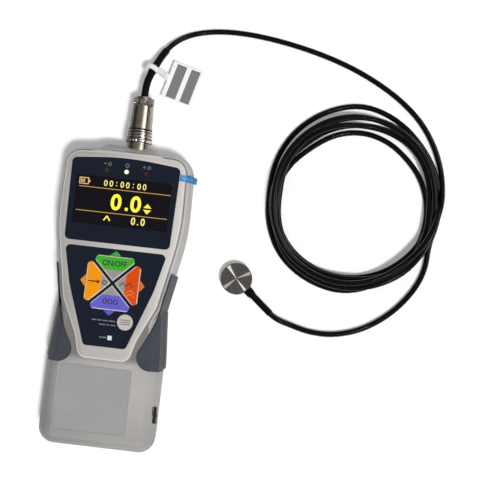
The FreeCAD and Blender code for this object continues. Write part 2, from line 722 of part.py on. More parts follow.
def film_tab():
    # A thin strip that starts beside the overlay, lies over the bezel
    # and bends down past its edge
    root = DISPLAY_TOP_HALF
    top = BODY_HEIGHT + 0.05
    edge = HEAD_TOP_WIDTH / 2 - BEZEL_SLOPE
    line = [
        (root + 0.25, top), (edge - BEZEL_TOP_BAND + 0.5, top), (edge + 0.5, BEZEL_CREASE_Z + 0.5),
        (edge + FILM_OUT / 2, BODY_HEIGHT - FILM_DROP * 0.35), (edge + FILM_OUT, BODY_HEIGHT - FILM_DROP)]
    lower = [V(x, 0, z) for x, z in line]
    upper = [V(x + 0.02, 0, z + FILM_THICK) for x, z in reversed(line)]
    face = Part.Face(Part.makePolygon(lower + upper + lower[:1]))
    strip = face.extrude(V(0, FILM_WIDTH, 0))
    strip.translate(V(0, FILM_Y - FILM_WIDTH / 2, 0))
    strip.rotate(V(root, FILM_Y, 0), UP, FILM_TURN)
    return strip


def main_board():
    board = slab(body_outline(), BOARD_LOW_Z, BOARD_TOP_Z, BOARD_MARGIN)
    far = box((-HEAD_WIDTH, BOARD_END_Y, BOARD_LOW_Z - 1), (HEAD_WIDTH, END_Y, BOARD_TOP_Z + 1))
    reach = BOSS_RADIUS + 0.5
    cuts = []
    for x, y in both_sides(SCREW_PLACES):
        xs = sorted((x - math.copysign(reach, x), x + math.copysign(20, x)))
        ys = sorted((y - math.copysign(reach, y), y + math.copysign(20, y)))
        cuts.append(box((xs[0], ys[0], BOARD_LOW_Z - 1), (xs[1], ys[1], BOARD_TOP_Z + 1)))
    cuts += [cylinder(BOARD_SCREW_RADIUS + 0.1, (x, y, BOARD_LOW_Z - 1), 4)
             for x, y in both_sides(BOARD_SCREW_PLACES)]
    return board.cut([far] + cuts)


def key_switches():
    s = SWITCH_SIZE / 2
    switches = []
    for name in KEYS:
        x, y = stem_place(name)
        base = box((x - s, y - s, BOARD_TOP_Z), (x + s, y + s, BOARD_TOP_Z + SWITCH_HEIGHT * 0.5))
        dome = cylinder(s * 0.75, (x, y, BOARD_TOP_Z), SWITCH_HEIGHT)
        switches.append(base.fuse(dome))
    return switches


def board_screws():
    screws = []
    for x, y in both_sides(BOARD_SCREW_PLACES):
        head = cylinder(BOARD_SCREW_RADIUS * 1.9, (x, y, BOARD_LOW_Z - BOARD_HEAD), BOARD_HEAD)
        screws.append(head.fuse(cylinder(BOARD_SCREW_RADIUS, (x, y, BOARD_LOW_Z - BOARD_HEAD), BOARD_THICK + BOARD_HEAD + 3.1)))
    return screws


def battery_pack():
    cells = []
    for side in (-1, 1):
        for end in (-1, 1):
            x = side * (CELL_RADIUS + 0.1)
            start = PACK_Y + 0.1 if end > 0 else PACK_Y - 0.1 - CELL_LENGTH
            z = WALL + 0.05 + CELL_RADIUS
            body = cylinder(CELL_RADIUS, (x, start, z), CELL_LENGTH - 1.2, ALONG)
            cap = cylinder(2.7, (x, start, z), CELL_LENGTH, ALONG)
            cells.append(body.fuse(cap))
    return cells


def housing_screws():
    screws = []
    for x, y in both_sides(SCREW_PLACES):
        base = SCREW_HEAD_DEPTH - SCREW_HEAD_HEIGHT
        head = cylinder(SCREW_HEAD_RADIUS, (x, y, base), SCREW_HEAD_HEIGHT)
        shank = cylinder(SCREW_RADIUS, (x, y, base), SCREW_LENGTH + SCREW_HEAD_HEIGHT)
        slots = [box((x - a, y - b, base - 1), (x + a, y + b, base + 1)) for a, b in ((1.5, 0.4), (0.4, 1.5))]
        screws.append(head.fuse(shank).cut(slots))
    return screws


def mounting_inserts():
    return [tube_ring(INSERT_RADIUS, INSERT_HOLE_RADIUS, (x, y, 0), INSERT_LENGTH) for x, y in insert_places()]


def pin_places(start):
    for k in range(PIN_COUNT):
        angle = 2 * math.pi * k / PIN_COUNT
        yield (SOCKET_X + PIN_CIRCLE * math.cos(angle), start, SOCKET_Z + PIN_CIRCLE * math.sin(angle))


COLLAR_END = PAD_Y + SOCKET_COLLAR
THREAD_END = COLLAR_END + SOCKET_THREAD_OUT
SOCKET_START = INNER_PAD_Y - SOCKET_NUT_THICK - SOCKET_BACK
NUT_START = COLLAR_END + 0.3
NUT_END = NUT_START + NUT_LENGTH
BARREL_START = NUT_END + 0.3
BARREL_END = BARREL_START + BARREL_LENGTH
CLAMP_END = BARREL_END + CLAMP_LENGTH
PIN_TIP = PAD_Y + 2.0 + PIN_LENGTH


def receptacle_shell():
    body = socket_axis(SOCKET_THREAD_RADIUS, SOCKET_START, THREAD_END)
    collar = socket_axis(SOCKET_COLLAR_RADIUS, PAD_Y - SOCKET_COLLAR_SINK, COLLAR_END)
    return body.fuse(collar).cut(socket_axis(SOCKET_BORE_RADIUS, SOCKET_START - 1, THREAD_END + 1))


def receptacle_pins():
    base = socket_axis(SOCKET_BORE_RADIUS, SOCKET_START, PAD_Y + 2.0)
    return base.fuse([cylinder(PIN_RADIUS, at, PIN_TIP - PAD_Y, ALONG) for at in pin_places(PAD_Y)])


def receptacle_nut():
    nut = socket_axis(SOCKET_NUT_RADIUS, INNER_PAD_Y - SOCKET_NUT_THICK, INNER_PAD_Y)
    return nut.cut(socket_axis(SOCKET_THREAD_RADIUS, INNER_PAD_Y - 9, INNER_PAD_Y + 1))


NOSE_RADIUS = SOCKET_BORE_RADIUS - PLUG_FIT
NOSE_START = PAD_Y + 2.4
NECK_RADIUS = SOCKET_THREAD_RADIUS - 0.9
FLANGE_START = THREAD_END + 0.1
FLANGE_END = NUT_END - NUT_LIP - 0.1


def plug_shell():
    nose = socket_axis(NOSE_RADIUS, NOSE_START, FLANGE_START + 0.1)
    flange = socket_axis(SOCKET_THREAD_RADIUS - 0.05, FLANGE_START, FLANGE_END)
    neck = socket_axis(NECK_RADIUS, FLANGE_END - 0.1, BARREL_START + 0.1)
    barrel = Part.makeCone(BARREL_RADIUS, BARREL_END_RADIUS, BARREL_LENGTH - 0.6,
                           V(SOCKET_X, BARREL_START, SOCKET_Z), ALONG)
    shoulder = Part.makeCone(BARREL_END_RADIUS, BARREL_END_RADIUS - 0.6, 0.6,
                             V(SOCKET_X, BARREL_END - 0.6, SOCKET_Z), ALONG)
    shell = nose.fuse([flange, neck, barrel, shoulder])
    return shell.cut(socket_axis(NOSE_RADIUS - PLUG_WALL, NOSE_START - 1, FLANGE_START))


def plug_insert():
    body = socket_axis(NOSE_RADIUS - PLUG_WALL, NOSE_START + 0.1, FLANGE_START)
    return body.cut([cylinder(PIN_RADIUS + PIN_GAP, at, PIN_TIP + 0.5 - NOSE_START, ALONG)
                     for at in pin_places(NOSE_START - 0.5)])


def coupling_nut():
    blank = socket_axis(NUT_RADIUS, NUT_START, NUT_END)
    bore = socket_axis(SOCKET_THREAD_RADIUS + PLUG_FIT, NUT_START - 1, NUT_END - NUT_LIP)
    lip = socket_axis(NECK_RADIUS + PLUG_FIT, NUT_START - 1, NUT_END + 1)
    cuts = [bore, lip]
    pitch = (NUT_LENGTH * 0.8) / NUT_GROOVES
    for k in range(NUT_GROOVES):
        start = NUT_END - 0.4 - (k + 0.7) * pitch
        ring = socket_axis(NUT_RADIUS + 1, start, start + pitch * 0.45)
        cuts.append(ring.cut(socket_axis(NUT_RADIUS - NUT_GROOVE_DEPTH, start - 1, start + pitch)))
    for k in range(NUT_FLUTES):
        angle = 2 * math.pi * k / NUT_FLUTES
        at = (SOCKET_X + (NUT_RADIUS + 0.25) * math.cos(angle), NUT_START - 0.5,
              SOCKET_Z + (NUT_RADIUS + 0.25) * math.sin(angle))
        cuts.append(cylinder(0.6, at, NUT_LENGTH * 0.3, ALONG))
    return blank.cut(cuts)


def clamp_screw_places():
    return [(SOCKET_X + side * CLAMP_SCREW_OUT, BARREL_END + CLAMP_LENGTH / 2) for side in (-1, 1)]


def cable_clamp():
    x, z = SOCKET_X, SOCKET_Z
    ring = socket_axis(CLAMP_RADIUS, BARREL_END, CLAMP_END)
    mid = BARREL_END + CLAMP_LENGTH / 2
    reach = CLAMP_SCREW_OUT + CLAMP_SCREW_RADIUS + 0.4
    saddle = box((x - reach, mid - 1.9, z - 3.4), (x + reach, mid + 1.9, z + 1.6))
    form = ring.fuse(saddle)
    gap = box((x - reach - 1, mid - 3, z - 0.35), (x - SLEEVE_RADIUS - 0.6, mid + 3, z + 0.35))
    other = box((x + SLEEVE_RADIUS + 0.6, mid - 3, z - 0.35), (x + reach + 1, mid + 3, z + 0.35))
    holes = [cylinder(0.8, (sx, sy, z - 2.4), 9) for sx, sy in clamp_screw_places()]
    holes += [cylinder(CLAMP_SCREW_RADIUS + 0.1, (sx, sy, z + 1.6), 4) for sx, sy in clamp_screw_places()]
    bore = socket_axis(SLEEVE_RADIUS + 0.02, BARREL_END - 1, CLAMP_END + 1)
    return form.cut([gap, other, bore] + holes)


def clamp_screws():
    screws = []
    for x, y in clamp_screw_places():
        head = cylinder(CLAMP_SCREW_RADIUS, (x, y, SOCKET_Z + 1.6), 1.1)
        slot = box((x - 2, y - 0.2, SOCKET_Z + 2.3), (x + 2, y + 0.2, SOCKET_Z + 3))
        screws.append(head.fuse(cylinder(0.75, (x, y, SOCKET_Z - 2.2), 4)).cut(slot))
    return screws


def route_wire(points, radii):
    # Straight runs joined by arcs as large as the shorter run allows
    points = [V(*p) for p in points]
    edges = []
    at = points[0]
    for k in range(1, len(points) - 1):
        before, here, after = points[k - 1], points[k], points[k + 1]
        a = (before - here)
        b = (after - here)
        run = 0.45 * min(a.Length, b.Length)
        turn = math.pi - a.getAngle(b)
        radii.append(run / math.tan(turn / 2))
        a.normalize()
        b.normalize()
        start, end = here + a * run, here + b * run
        middle = (a + b).normalize()
        sagitta = radii[-1] / math.cos(turn / 2) - radii[-1]
        edges.append(Part.LineSegment(at, start).toShape())
        edges.append(Part.Arc(start, here + middle * sagitta, end).toShape())
        at = end
    edges.append(Part.LineSegment(at, points[-1]).toShape())
    return Part.Wire(edges)


def cord(points, radius):
    radii = []
    path = route_wire(points, radii)
    start = V(*points[0])
    heading = (V(*points[1]) - start).normalize()
    profile = Part.Wire(Part.makeCircle(radius, start, heading))
    tube = path.makePipeShell([profile], True, True)
    want = math.pi * radius ** 2 * path.Length
    print("cord length %.1f, radii %.0f to %.0f, volume ratio %.4f" % (
        path.Length, min(radii), max(radii), tube.Volume / want))
    return tube


def between(p, q, share):
    return tuple(a + share * (b - a) for a, b in zip(p, q))


SLEEVE_END = between(LEAD_ROUTE[SLEEVE_LAST], LEAD_ROUTE[SLEEVE_LAST + 1], SLEEVE_SHARE)


def plug_sleeve():
    # The heat-shrink tube starts inside the clamp
    start = (SOCKET_X, BARREL_END, SOCKET_Z)
    return cord([start] + LEAD_ROUTE[1:SLEEVE_LAST + 1] + [SLEEVE_END], SLEEVE_RADIUS)


def lead_run():
    return cord([SLEEVE_END] + LEAD_ROUTE[SLEEVE_LAST + 1:], CORD_RADIUS)


GLAND_AXIS = V(math.cos(math.radians(GLAND_DIRECTION)), math.sin(math.radians(GLAND_DIRECTION)), 0)
DISC_Z = BUTTON_HEIGHT
GLAND_ROOT = V(CELL_CENTRE[0], CELL_CENTRE[1], DISC_Z + DISC_THICK / 2) + GLAND_AXIS * (DISC_RADIUS - 0.4)
SLEEVE_ROOT = GLAND_ROOT + GLAND_AXIS * GLAND_LENGTH
TAIL_END = SLEEVE_ROOT + GLAND_AXIS * SENSOR_SLEEVE_LENGTH


def lead_tail():
    # The tail runs straight into the sensor's sleeve, and sags down to the table
    ahead = TAIL_END + GLAND_AXIS * 4.0
    route = TAIL_ROUTE + [(ahead.x, ahead.y, ahead.z - 0.3), tuple(TAIL_END)]
    return cord(route, CORD_RADIUS)


def lead_coil():
    across, along = COIL_ACROSS, COIL_ALONG
    centre = V(COIL_CENTRE[0], COIL_CENTRE[1], 0)

    def oval(inset, z):
        curve = Part.Ellipse(V(0, 0, 0), along - inset, across - inset).toShape()
        wire = Part.Wire(curve)
        wire.rotate(V(0, 0, 0), UP, 90 + COIL_TURN)
        wire.translate(centre + V(0, 0, z))
        return wire

    edge = CORD_RADIUS
    levels = [(FLOOR_CLEAR, edge), (edge, 0.0), (COIL_HEIGHT * 0.5, 0.0), (COIL_HEIGHT, edge * 2)]
    heap = Part.makeLoft([oval(inset, z) for z, inset in levels], True, True)
    hole = cylinder(COIL_HOLE_RADIUS, COIL_HOLE_CENTRE + (-1,), COIL_HEIGHT + 2)
    return heap.cut(hole)


def load_cell():
    x, y = CELL_CENTRE
    low, high = DISC_Z, DISC_Z + DISC_THICK
    r, e = DISC_RADIUS, DISC_EDGE
    profile = [(0, low), (r - e, low), (r, low + e), (r, high - e), (r - e, high), (0, high)]
    points = [V(px, 0, pz) for px, pz in profile]
    disc = Part.Face(Part.makePolygon(points + points[:1])).revolve(V(0, 0, 0), UP, 360)
    disc.translate(V(x, y, 0))
    recess = cylinder(COVER_RADIUS, (x, y, high - COVER_SINK), 2)
    gland_seat = cylinder(GLAND_RADIUS, tuple(GLAND_ROOT), 2, GLAND_AXIS)
    return disc.cut([recess, gland_seat])


def cell_cover():
    # The turned plate that closes the upper face of the cell
    x, y = CELL_CENTRE
    return cylinder(COVER_RADIUS - 0.03, (x, y, DISC_Z + DISC_THICK - COVER_SINK), COVER_SINK)


def load_button():
    x, y = CELL_CENTRE
    cap = Part.makeCone(BUTTON_RADIUS - BUTTON_EDGE, BUTTON_RADIUS, BUTTON_EDGE, V(x, y, 0), UP)
    return cap.fuse(cylinder(BUTTON_RADIUS, (x, y, BUTTON_EDGE), BUTTON_HEIGHT - BUTTON_EDGE))


def cell_gland():
    straight = cylinder(GLAND_RADIUS, tuple(GLAND_ROOT), GLAND_LENGTH * 0.6, GLAND_AXIS)
    start = GLAND_ROOT + GLAND_AXIS * (GLAND_LENGTH * 0.6)
    taper = Part.makeCone(GLAND_RADIUS, SENSOR_SLEEVE_RADIUS + 0.2, GLAND_LENGTH * 0.4, start, GLAND_AXIS)
    return straight.fuse(taper)


def sensor_sleeve():
    return cylinder(SENSOR_SLEEVE_RADIUS, tuple(SLEEVE_ROOT), SENSOR_SLEEVE_LENGTH, GLAND_AXIS)


def section(middle, wide, thick, width, height):
    # A thin rectangle, given by its middle and two directions
    a, b = wide * (width / 2), thick * (height / 2)
    corners = [middle - a - b, middle + a - b, middle + a + b, middle - a + b]
    return Part.makePolygon(corners + corners[:1])


def cable_tag():
    # A ring round the sleeve with a looser loop on it, a twisted neck and a flat flag
    p, q = V(*LEAD_ROUTE[2]), V(*LEAD_ROUTE[3])
    centre = (p + q) / 2
    axis = (q - p).normalize()
    inner = SLEEVE_RADIUS + TAG_GAP
    start = centre - axis * (TAG_RING_WIDTH / 2)
    ring = tube_ring(inner + TAG_THICK, inner, tuple(start), TAG_RING_WIDTH, axis)
    flag = box((-TAG_WIDTH / 2, -TAG_LENGTH / 2, -TAG_THICK / 2), (TAG_WIDTH / 2, TAG_LENGTH / 2, TAG_THICK / 2))
    place = FreeCAD.Placement(V(*TAG_CENTRE), FreeCAD.Rotation(TAG_TURN, TAG_DIP, 0))
    flag.Placement = place
    # The neck leaves the ring's side and meets the flag's near edge level with it
    turn = place.Rotation
    edge = place.multVec(V(-TAG_WIDTH / 2, 0, 0))
    along = turn.multVec(ALONG)
    edge = edge + along * along.dot(centre - edge)
    out = edge - centre
    out = (out - axis * axis.dot(out)).normalize()
    start = centre - out * TAG_LOOP_SHIFT - axis * (TAG_LOOP_WIDTH / 2)
    loop = tube_ring(TAG_LOOP_RADIUS + TAG_THICK, TAG_LOOP_RADIUS, tuple(start), TAG_LOOP_WIDTH, axis)
    root = section(centre + out * (inner + TAG_THICK / 2), axis, out.cross(axis), TAG_RING_WIDTH, TAG_THICK)
    tip = edge + turn.multVec(V(0.5, 0, 0))
    end = section(tip, along, turn.multVec(V(1, 0, 0)).cross(along), TAG_NECK_WIDTH, TAG_THICK)
    neck = Part.makeLoft([root, end], True, True)
    print("tag ring centre", centre, "axis", axis)
    return ring.fuse([loop, neck, flag])


NODES = {
    "rear_cover": rear_cover,
    "front_cover": front_cover,
    "left_grip": lambda: side_grip(-1),
    "right_grip": lambda: side_grip(1),
    "display_overlay": display_overlay,
    "display_lens": display_lens,
    "oled_module": oled_module,
    "keypad_overlay": keypad_overlay,
    "left_lamp": lambda: lamp(0),
    "middle_lamp": lambda: lamp(1),
    "right_lamp": lambda: lamp(2),
    "label_plate": label_plate,
    "film_tab": film_tab,
    "main_board": main_board,
    "key_switches": key_switches,
    "board_screws": board_screws,
    "battery_pack": battery_pack,
    "housing_screws": housing_screws,
    "mounting_inserts": mounting_inserts,
    "receptacle_shell": receptacle_shell,
    "receptacle_pins": receptacle_pins,
    "receptacle_nut": receptacle_nut,
    "usb_port": usb_port,
    "power_key": lambda: key("power_key"),
    "send_key": lambda: key("send_key"),
    "peak_key": lambda: key("peak_key"),
    "zero_key": lambda: key("zero_key"),
    "menu_key": lambda: key("menu_key"),
    "coupling_nut": coupling_nut,
    "plug_shell": plug_shell,
    "plug_insert": plug_insert,
    "cable_clamp": cable_clamp,
    "clamp_screws": clamp_screws,
    "plug_sleeve": plug_sleeve,
    "lead_run": lead_run,
    "lead_coil": lead_coil,
    "lead_tail": lead_tail,
    "sensor_sleeve": sensor_sleeve,
    "cell_gland": cell_gland,
    "load_cell": load_cell,
    "cell_cover": cell_cover,
    "load_button": load_button,
    "cable_tag": cable_tag,
}


def main():
    os.makedirs("parts", exist_ok=True)
    for name, make in NODES.items():
        made = make()
        solids = made if isinstance(made, list) else made.removeSplitter().Solids
        shape = Part.makeCompound(solids) if len(solids) > 1 else solids[0]
        box_ = shape.BoundBox
        print("%-18s solids %d valid %s volume %8.1f  z %6.2f to %6.2f" % (
            name, len(shape.Solids), shape.isValid(), shape.Volume, box_.ZMin, box_.ZMax))
        shape.exportStep("parts/%s.step" % name)


main()
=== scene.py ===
# A handheld force gauge with its disc load cell on a coiled lead, as it lies on a
# white table. Millimetres go in, and every mesh is made in the row frame in metres.
import math

import bmesh
import bpy
from mathutils import Matrix, Vector
from mathutils.bvhtree import BVHTree


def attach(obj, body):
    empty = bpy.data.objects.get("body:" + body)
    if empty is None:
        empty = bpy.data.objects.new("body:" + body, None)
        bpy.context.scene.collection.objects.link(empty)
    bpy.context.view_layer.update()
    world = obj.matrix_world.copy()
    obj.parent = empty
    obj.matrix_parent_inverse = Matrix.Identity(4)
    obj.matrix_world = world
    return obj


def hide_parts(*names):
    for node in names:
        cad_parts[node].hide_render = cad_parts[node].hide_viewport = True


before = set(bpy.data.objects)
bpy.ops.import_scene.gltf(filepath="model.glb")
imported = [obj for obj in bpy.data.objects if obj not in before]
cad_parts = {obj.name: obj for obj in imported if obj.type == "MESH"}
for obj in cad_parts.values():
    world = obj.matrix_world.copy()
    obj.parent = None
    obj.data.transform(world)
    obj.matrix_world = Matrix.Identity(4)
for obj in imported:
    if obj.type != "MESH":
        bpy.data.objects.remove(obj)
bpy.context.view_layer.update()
MM = 0.001
TO_METRES = Matrix.Diagonal((MM, MM, MM, 1))

# Heights of the gauge's printed faces, and the keys' common centre and reach
OVERLAY_TOP = 33.7
KEY_TOP = 34.3
INK_GAP = 0.01
KEY_CENTRE = (0.3, 7.0)
KEY_REACH = 14.9
KEY_APEX = 1.06

# How far the grips' upper rim is drawn in, before the little more
GRIP_DRAW = 1.25

# The data socket's slot, where it shows on the right slope, covered by a sheet of painted shade
PORT_X, PORT_Y, PORT_WALL = 31.1, -62.5, 32.45
PORT_HALF_WIDTH, PORT_HALF_LENGTH = 1.2, 4.8
PORT_STRAIGHT, PORT_TIP, PORT_LEAN = 0.74, 0.12, 0.09
PORT_PROUD, PORT_SUNK = 0.07, 0.05

# The lead, with the route's points
CORD = 3.2
SLEEVE, SLEEVE_START, SLEEVE_LENGTH = 4.2, 4.4, 35.0
SOCKET_X, SOCKET_Z = 3.7, 20.5
TABLE_Z = 1.65
PLUG_EXIT = (SOCKET_X, 113.8, SOCKET_Z)
LEAD_ROUTE = [
    PLUG_EXIT,
    (SOCKET_X, 122.0, SOCKET_Z),
    (5.7, 129.2, SOCKET_Z * 0.89),
    (7.8, 135.6, SOCKET_Z * 0.73),
    (10.5, 142.8, SOCKET_Z * 0.51),
    (14.8, 150.2, SOCKET_Z * 0.3),
    (22.0, 156.2, SOCKET_Z * 0.15),
    (32.6, 160.0, TABLE_Z),
    (46.0, 161.6, TABLE_Z),
    (62.0, 161.1, TABLE_Z),
    (81.0, 158.5, TABLE_Z),
    (100.5, 154.2, TABLE_Z),
    (119.2, 148.2, TABLE_Z),
    (136.0, 140.4, TABLE_Z),
    (150.5, 131.4, TABLE_Z),
    (162.4, 120.8, TABLE_Z),
    (170.6, 108.8, TABLE_Z),
    (175.8, 96.5, TABLE_Z + 0.6),
    (178.1, 85.2, TABLE_Z + 2.0),
]
TAIL_ROUTE = [
    (173.7, 48.9, TABLE_Z),
    (173.6, 38.9, TABLE_Z),
    (170.7, 28.6, TABLE_Z),
    (164.4, 18.0, TABLE_Z),
    (154.5, 7.1, TABLE_Z),
    (141.0, -2.1, TABLE_Z),
    (125.8, -6.9, TABLE_Z),
    (111.6, -6.9, TABLE_Z),
    (100.2, -4.0, 2.3),
]

# The coupling nut
NUT_START, NUT_END, NUT_RADIUS = 87.8, 95.3, 7.5
NUT_BORE, NUT_LIP_BORE, NUT_LIP = 6.1, 5.2, 1.2
NUT_TAPER, FLUTE_DEPTH, FLUTES_END = 0.55, 0.3, 89.0
NUT_GROOVES = (89.6, 91.3, 93.0, 94.5)
GROOVE_DEPTH, GROOVE_HALF_TOP, GROOVE_HALF_FLOOR = 0.75, 0.62, 0.27

# The flag label on the sleeve
TAG_CENTRE, TAG_TURN, TAG_DIP = (22.8, 127.1, 6.4), -14.6, 4.0
TAG_WIDTH, TAG_LENGTH, TAG_THICK, TAG_BAND = 18, 22, 0.4, 3.1
TAG_LOOP, TAG_LOOP_SHIFT = (3.3, 2.4), 1.0

# The load cell
CELL_CENTRE = (66.8, 18.7)
CELL_MIDDLE_Z = 4.0
GLAND_DIRECTION = math.radians(-39.6)
# Each painted gleam's direction in degrees, its spread and how bright it is
CELL_GLEAMS = [(128.5, 0.19, 1.0), (-47.0, 0.14, 1.0), (28.0, 0.18, 0.6), (223.0, 0.18, 0.6)]
TAIL_REACH = 27.6

# The coil's turns, clockwise from the right: how far each is from the centre at
# eight places. The last turn is wound first, so the others lie on it.
COIL_CENTRE = (128.5, 71.6)
COIL_TURNS = [
    (48.3, 46.3, 49.0, 49.3, 45.5, 45.8, 46.9, 46.3),
    (45.4, 50.3, 51.3, 51.0, 43.4, 43.5, 42.2, 44.6),
    (42.4, 48.0, 45.6, 47.6, 42.0, 45.2, 47.8, 47.9),
    (48.7, 49.9, 49.7, 49.4, 46.5, 41.8, 43.4, 46.2),
    (45.2, 44.5, 44.9, 45.9, 44.9, 38.4, 39.1, 38.3),
    (41.9, 46.4, 52.9, 52.8, 48.2, 51.7, 54.9, 49.6),
]
COIL_END = (48.8, 49.5)
STATIONS = 16

# The table's own tone, and what it adds to the camera and in reflections
TABLE_TONE, TABLE_GLOW = 0.76, 0.22


def mm(*point):
    return Vector(point) * MM


# Camera and light


def place_camera():
    """A long lens nearly overhead, a little to the right and front, and rolled"""
    data = bpy.data.cameras.new("camera")
    data.sensor_width = 36.0
    data.lens = 97.97
    camera = bpy.data.objects.new("camera", data)
    bpy.context.scene.collection.objects.link(camera)
    eye = Vector((0.0941, -0.0201, 0.750))
    ahead = (Vector((0.0661, 0.0414, 0.0)) - eye).normalized()
    roll = -0.115
    right = ahead.cross(Vector((math.sin(roll), math.cos(roll), 0))).normalized()
    up = right.cross(ahead)
    turn = Matrix((right, up, -ahead)).transposed()
    camera.matrix_world = Matrix.Translation(eye) @ turn.to_4x4()
    bpy.context.scene.camera = camera


def add_sun(name, energy, angle, to_light):
    sun = bpy.data.lights.new(name, "SUN")
    sun.energy = energy
    sun.angle = math.radians(angle)
    lamp = bpy.data.objects.new(name, sun)
    bpy.context.scene.collection.objects.link(lamp)
    lamp.rotation_mode = "QUATERNION"
    lamp.rotation_quaternion = Vector(to_light).to_track_quat("Z", "Y")
    return lamp


def place_lights():
    """A broad lamp from the right and front for the faces, and a small one for glints"""
    broad = add_sun("broad_lamp", 2.45, 7.0, (0.25, -0.3, 1.0))
    broad.visible_glossy = False
    add_sun("glint_lamp", 0.4, 2.0, (0.22, -0.32, 1.0))


# Shader writing


class Shade:
    """A socket of a material. Arithmetic on it adds Math nodes."""

    def __init__(self, paint, socket):
        self.paint = paint
        self.socket = socket

    def maths(self, operation, *values):
        return self.paint.add("Math", {"operation": operation}, *values)

    def __add__(self, other):
        return self.maths("ADD", self, other)

    def __sub__(self, other):
        return self.maths("SUBTRACT", self, other)

    def __rsub__(self, other):
        return self.maths("SUBTRACT", other, self)

    def __mul__(self, other):
        return self.maths("MULTIPLY", self, other)

    def __truediv__(self, other):
        return self.maths("DIVIDE", self, other)

    def __pow__(self, other):
        return self.maths("POWER", self, other)

    def __gt__(self, other):
        return self.maths("GREATER_THAN", self, other)

    def __abs__(self):
        return self.maths("ABSOLUTE", self)

    def step(self, start, end):
        """From 0 at start to 1 at end, smoothly"""
        return self.paint.add(
            "MapRange", {"interpolation_type": "SMOOTHSTEP"}, self, start, end, 0.0, 1.0
        )

    __radd__ = __add__
    __rmul__ = __mul__


class Paint:
    """A material whose nodes are made one by one"""

    def __init__(self, name, color=(0.5, 0.5, 0.5), roughness=0.5, metallic=0.0, **fixed):
        self.material = bpy.data.materials.new(name)
        self.material.use_nodes = True
        self.tree = self.material.node_tree
        self.shader = next(n for n in self.tree.nodes if n.type == "BSDF_PRINCIPLED")
        self.set(**{"Base Color": (*color, 1.0), "Roughness": roughness, "Metallic": metallic})
        self.set(**{name.replace("_", " "): value for name, value in fixed.items()})

    def set(self, **values):
        for name, value in values.items():
            name = name.replace("_", " ")
            if isinstance(value, Shade):
                self.tree.links.new(value.socket, self.shader.inputs[name])
            else:
                self.shader.inputs[name].default_value = value

    def add(self, kind, settings, *values, out=0, at=None):
        node = self.tree.nodes.new("ShaderNode" + kind)
        stops = settings.pop("stops", None)
        for name, value in settings.items():
            setattr(node, name, value)
        if stops:
            ramp = node.color_ramp
            while len(ramp.elements) < len(stops):
                ramp.elements.new(0.5)
            for element, (place, color) in zip(ramp.elements, stops):
                element.position = place
                element.color = (*color, 1.0)
        for place, value in [*enumerate(values), *(at or {}).items()]:
            if isinstance(value, Shade):
                self.tree.links.new(value.socket, node.inputs[place])
            else:
                node.inputs[place].default_value = value
        return Shade(self, node.outputs[out])

    def place(self):
        """The point on the surface in the row frame, in millimetres"""
        point = self.add("TexCoord", {}, out=3)
        return self.add("VectorMath", {"operation": "SCALE"}, point, at={3: 1000.0})

    def parts(self, vector):
        split = self.tree.nodes.new("ShaderNodeSeparateXYZ")
        self.tree.links.new(vector.socket, split.inputs[0])
        return [Shade(self, out) for out in split.outputs]

    def noise(self, where, scale, detail=3.0, roughness=0.6):
        return self.add("TexNoise", {}, where, at={2: scale, 3: detail, 4: roughness})

    def stretched(self, where, factors):
        return self.add("VectorMath", {"operation": "MULTIPLY"}, where, factors)

    def mix(self, mask, first, second):
        first, second = ((*c, 1.0) if isinstance(c, tuple) and len(c) == 3 else c for c in (first, second))
        return self.add("Mix", {"data_type": "RGBA"}, out=2, at={0: mask, 6: first, 7: second})

    def relief(self, height, depth, strength=1.0):
        """A bump of this depth in millimetres"""
        return self.add("Bump", {}, at={0: strength, 1: depth * MM, 3: height})


def srgb(*levels):
    return tuple((v / 255 / 12.92) if v < 10.4 else ((v / 255 + 0.055) / 1.055) ** 2.4 for v in levels)


def tinted(color, factor):
    return tuple(min(1.0, c * factor) for c in color)


# Finishes


def moulded(name, color, sheen=0.4, grain=0.012, mottle=0.04):
    """Sprayed or moulded plastic with a fine spark grain"""
    paint = Paint(name, color, sheen)
    where = paint.place()
    cloud = paint.noise(where, 0.06, 2.0)
    speck = paint.noise(where, 9.0, 2.0)
    tone = cloud * 0.7 + speck * 0.3
    paint.set(Base_Color=paint.mix(tone, tinted(color, 1 - mottle), tinted(color, 1 + mottle)))
    paint.set(Roughness=speck * 0.12 + (sheen - 0.06))
    paint.set(Normal=paint.relief(paint.noise(where, 3.2, 4.0), grain))
    return paint


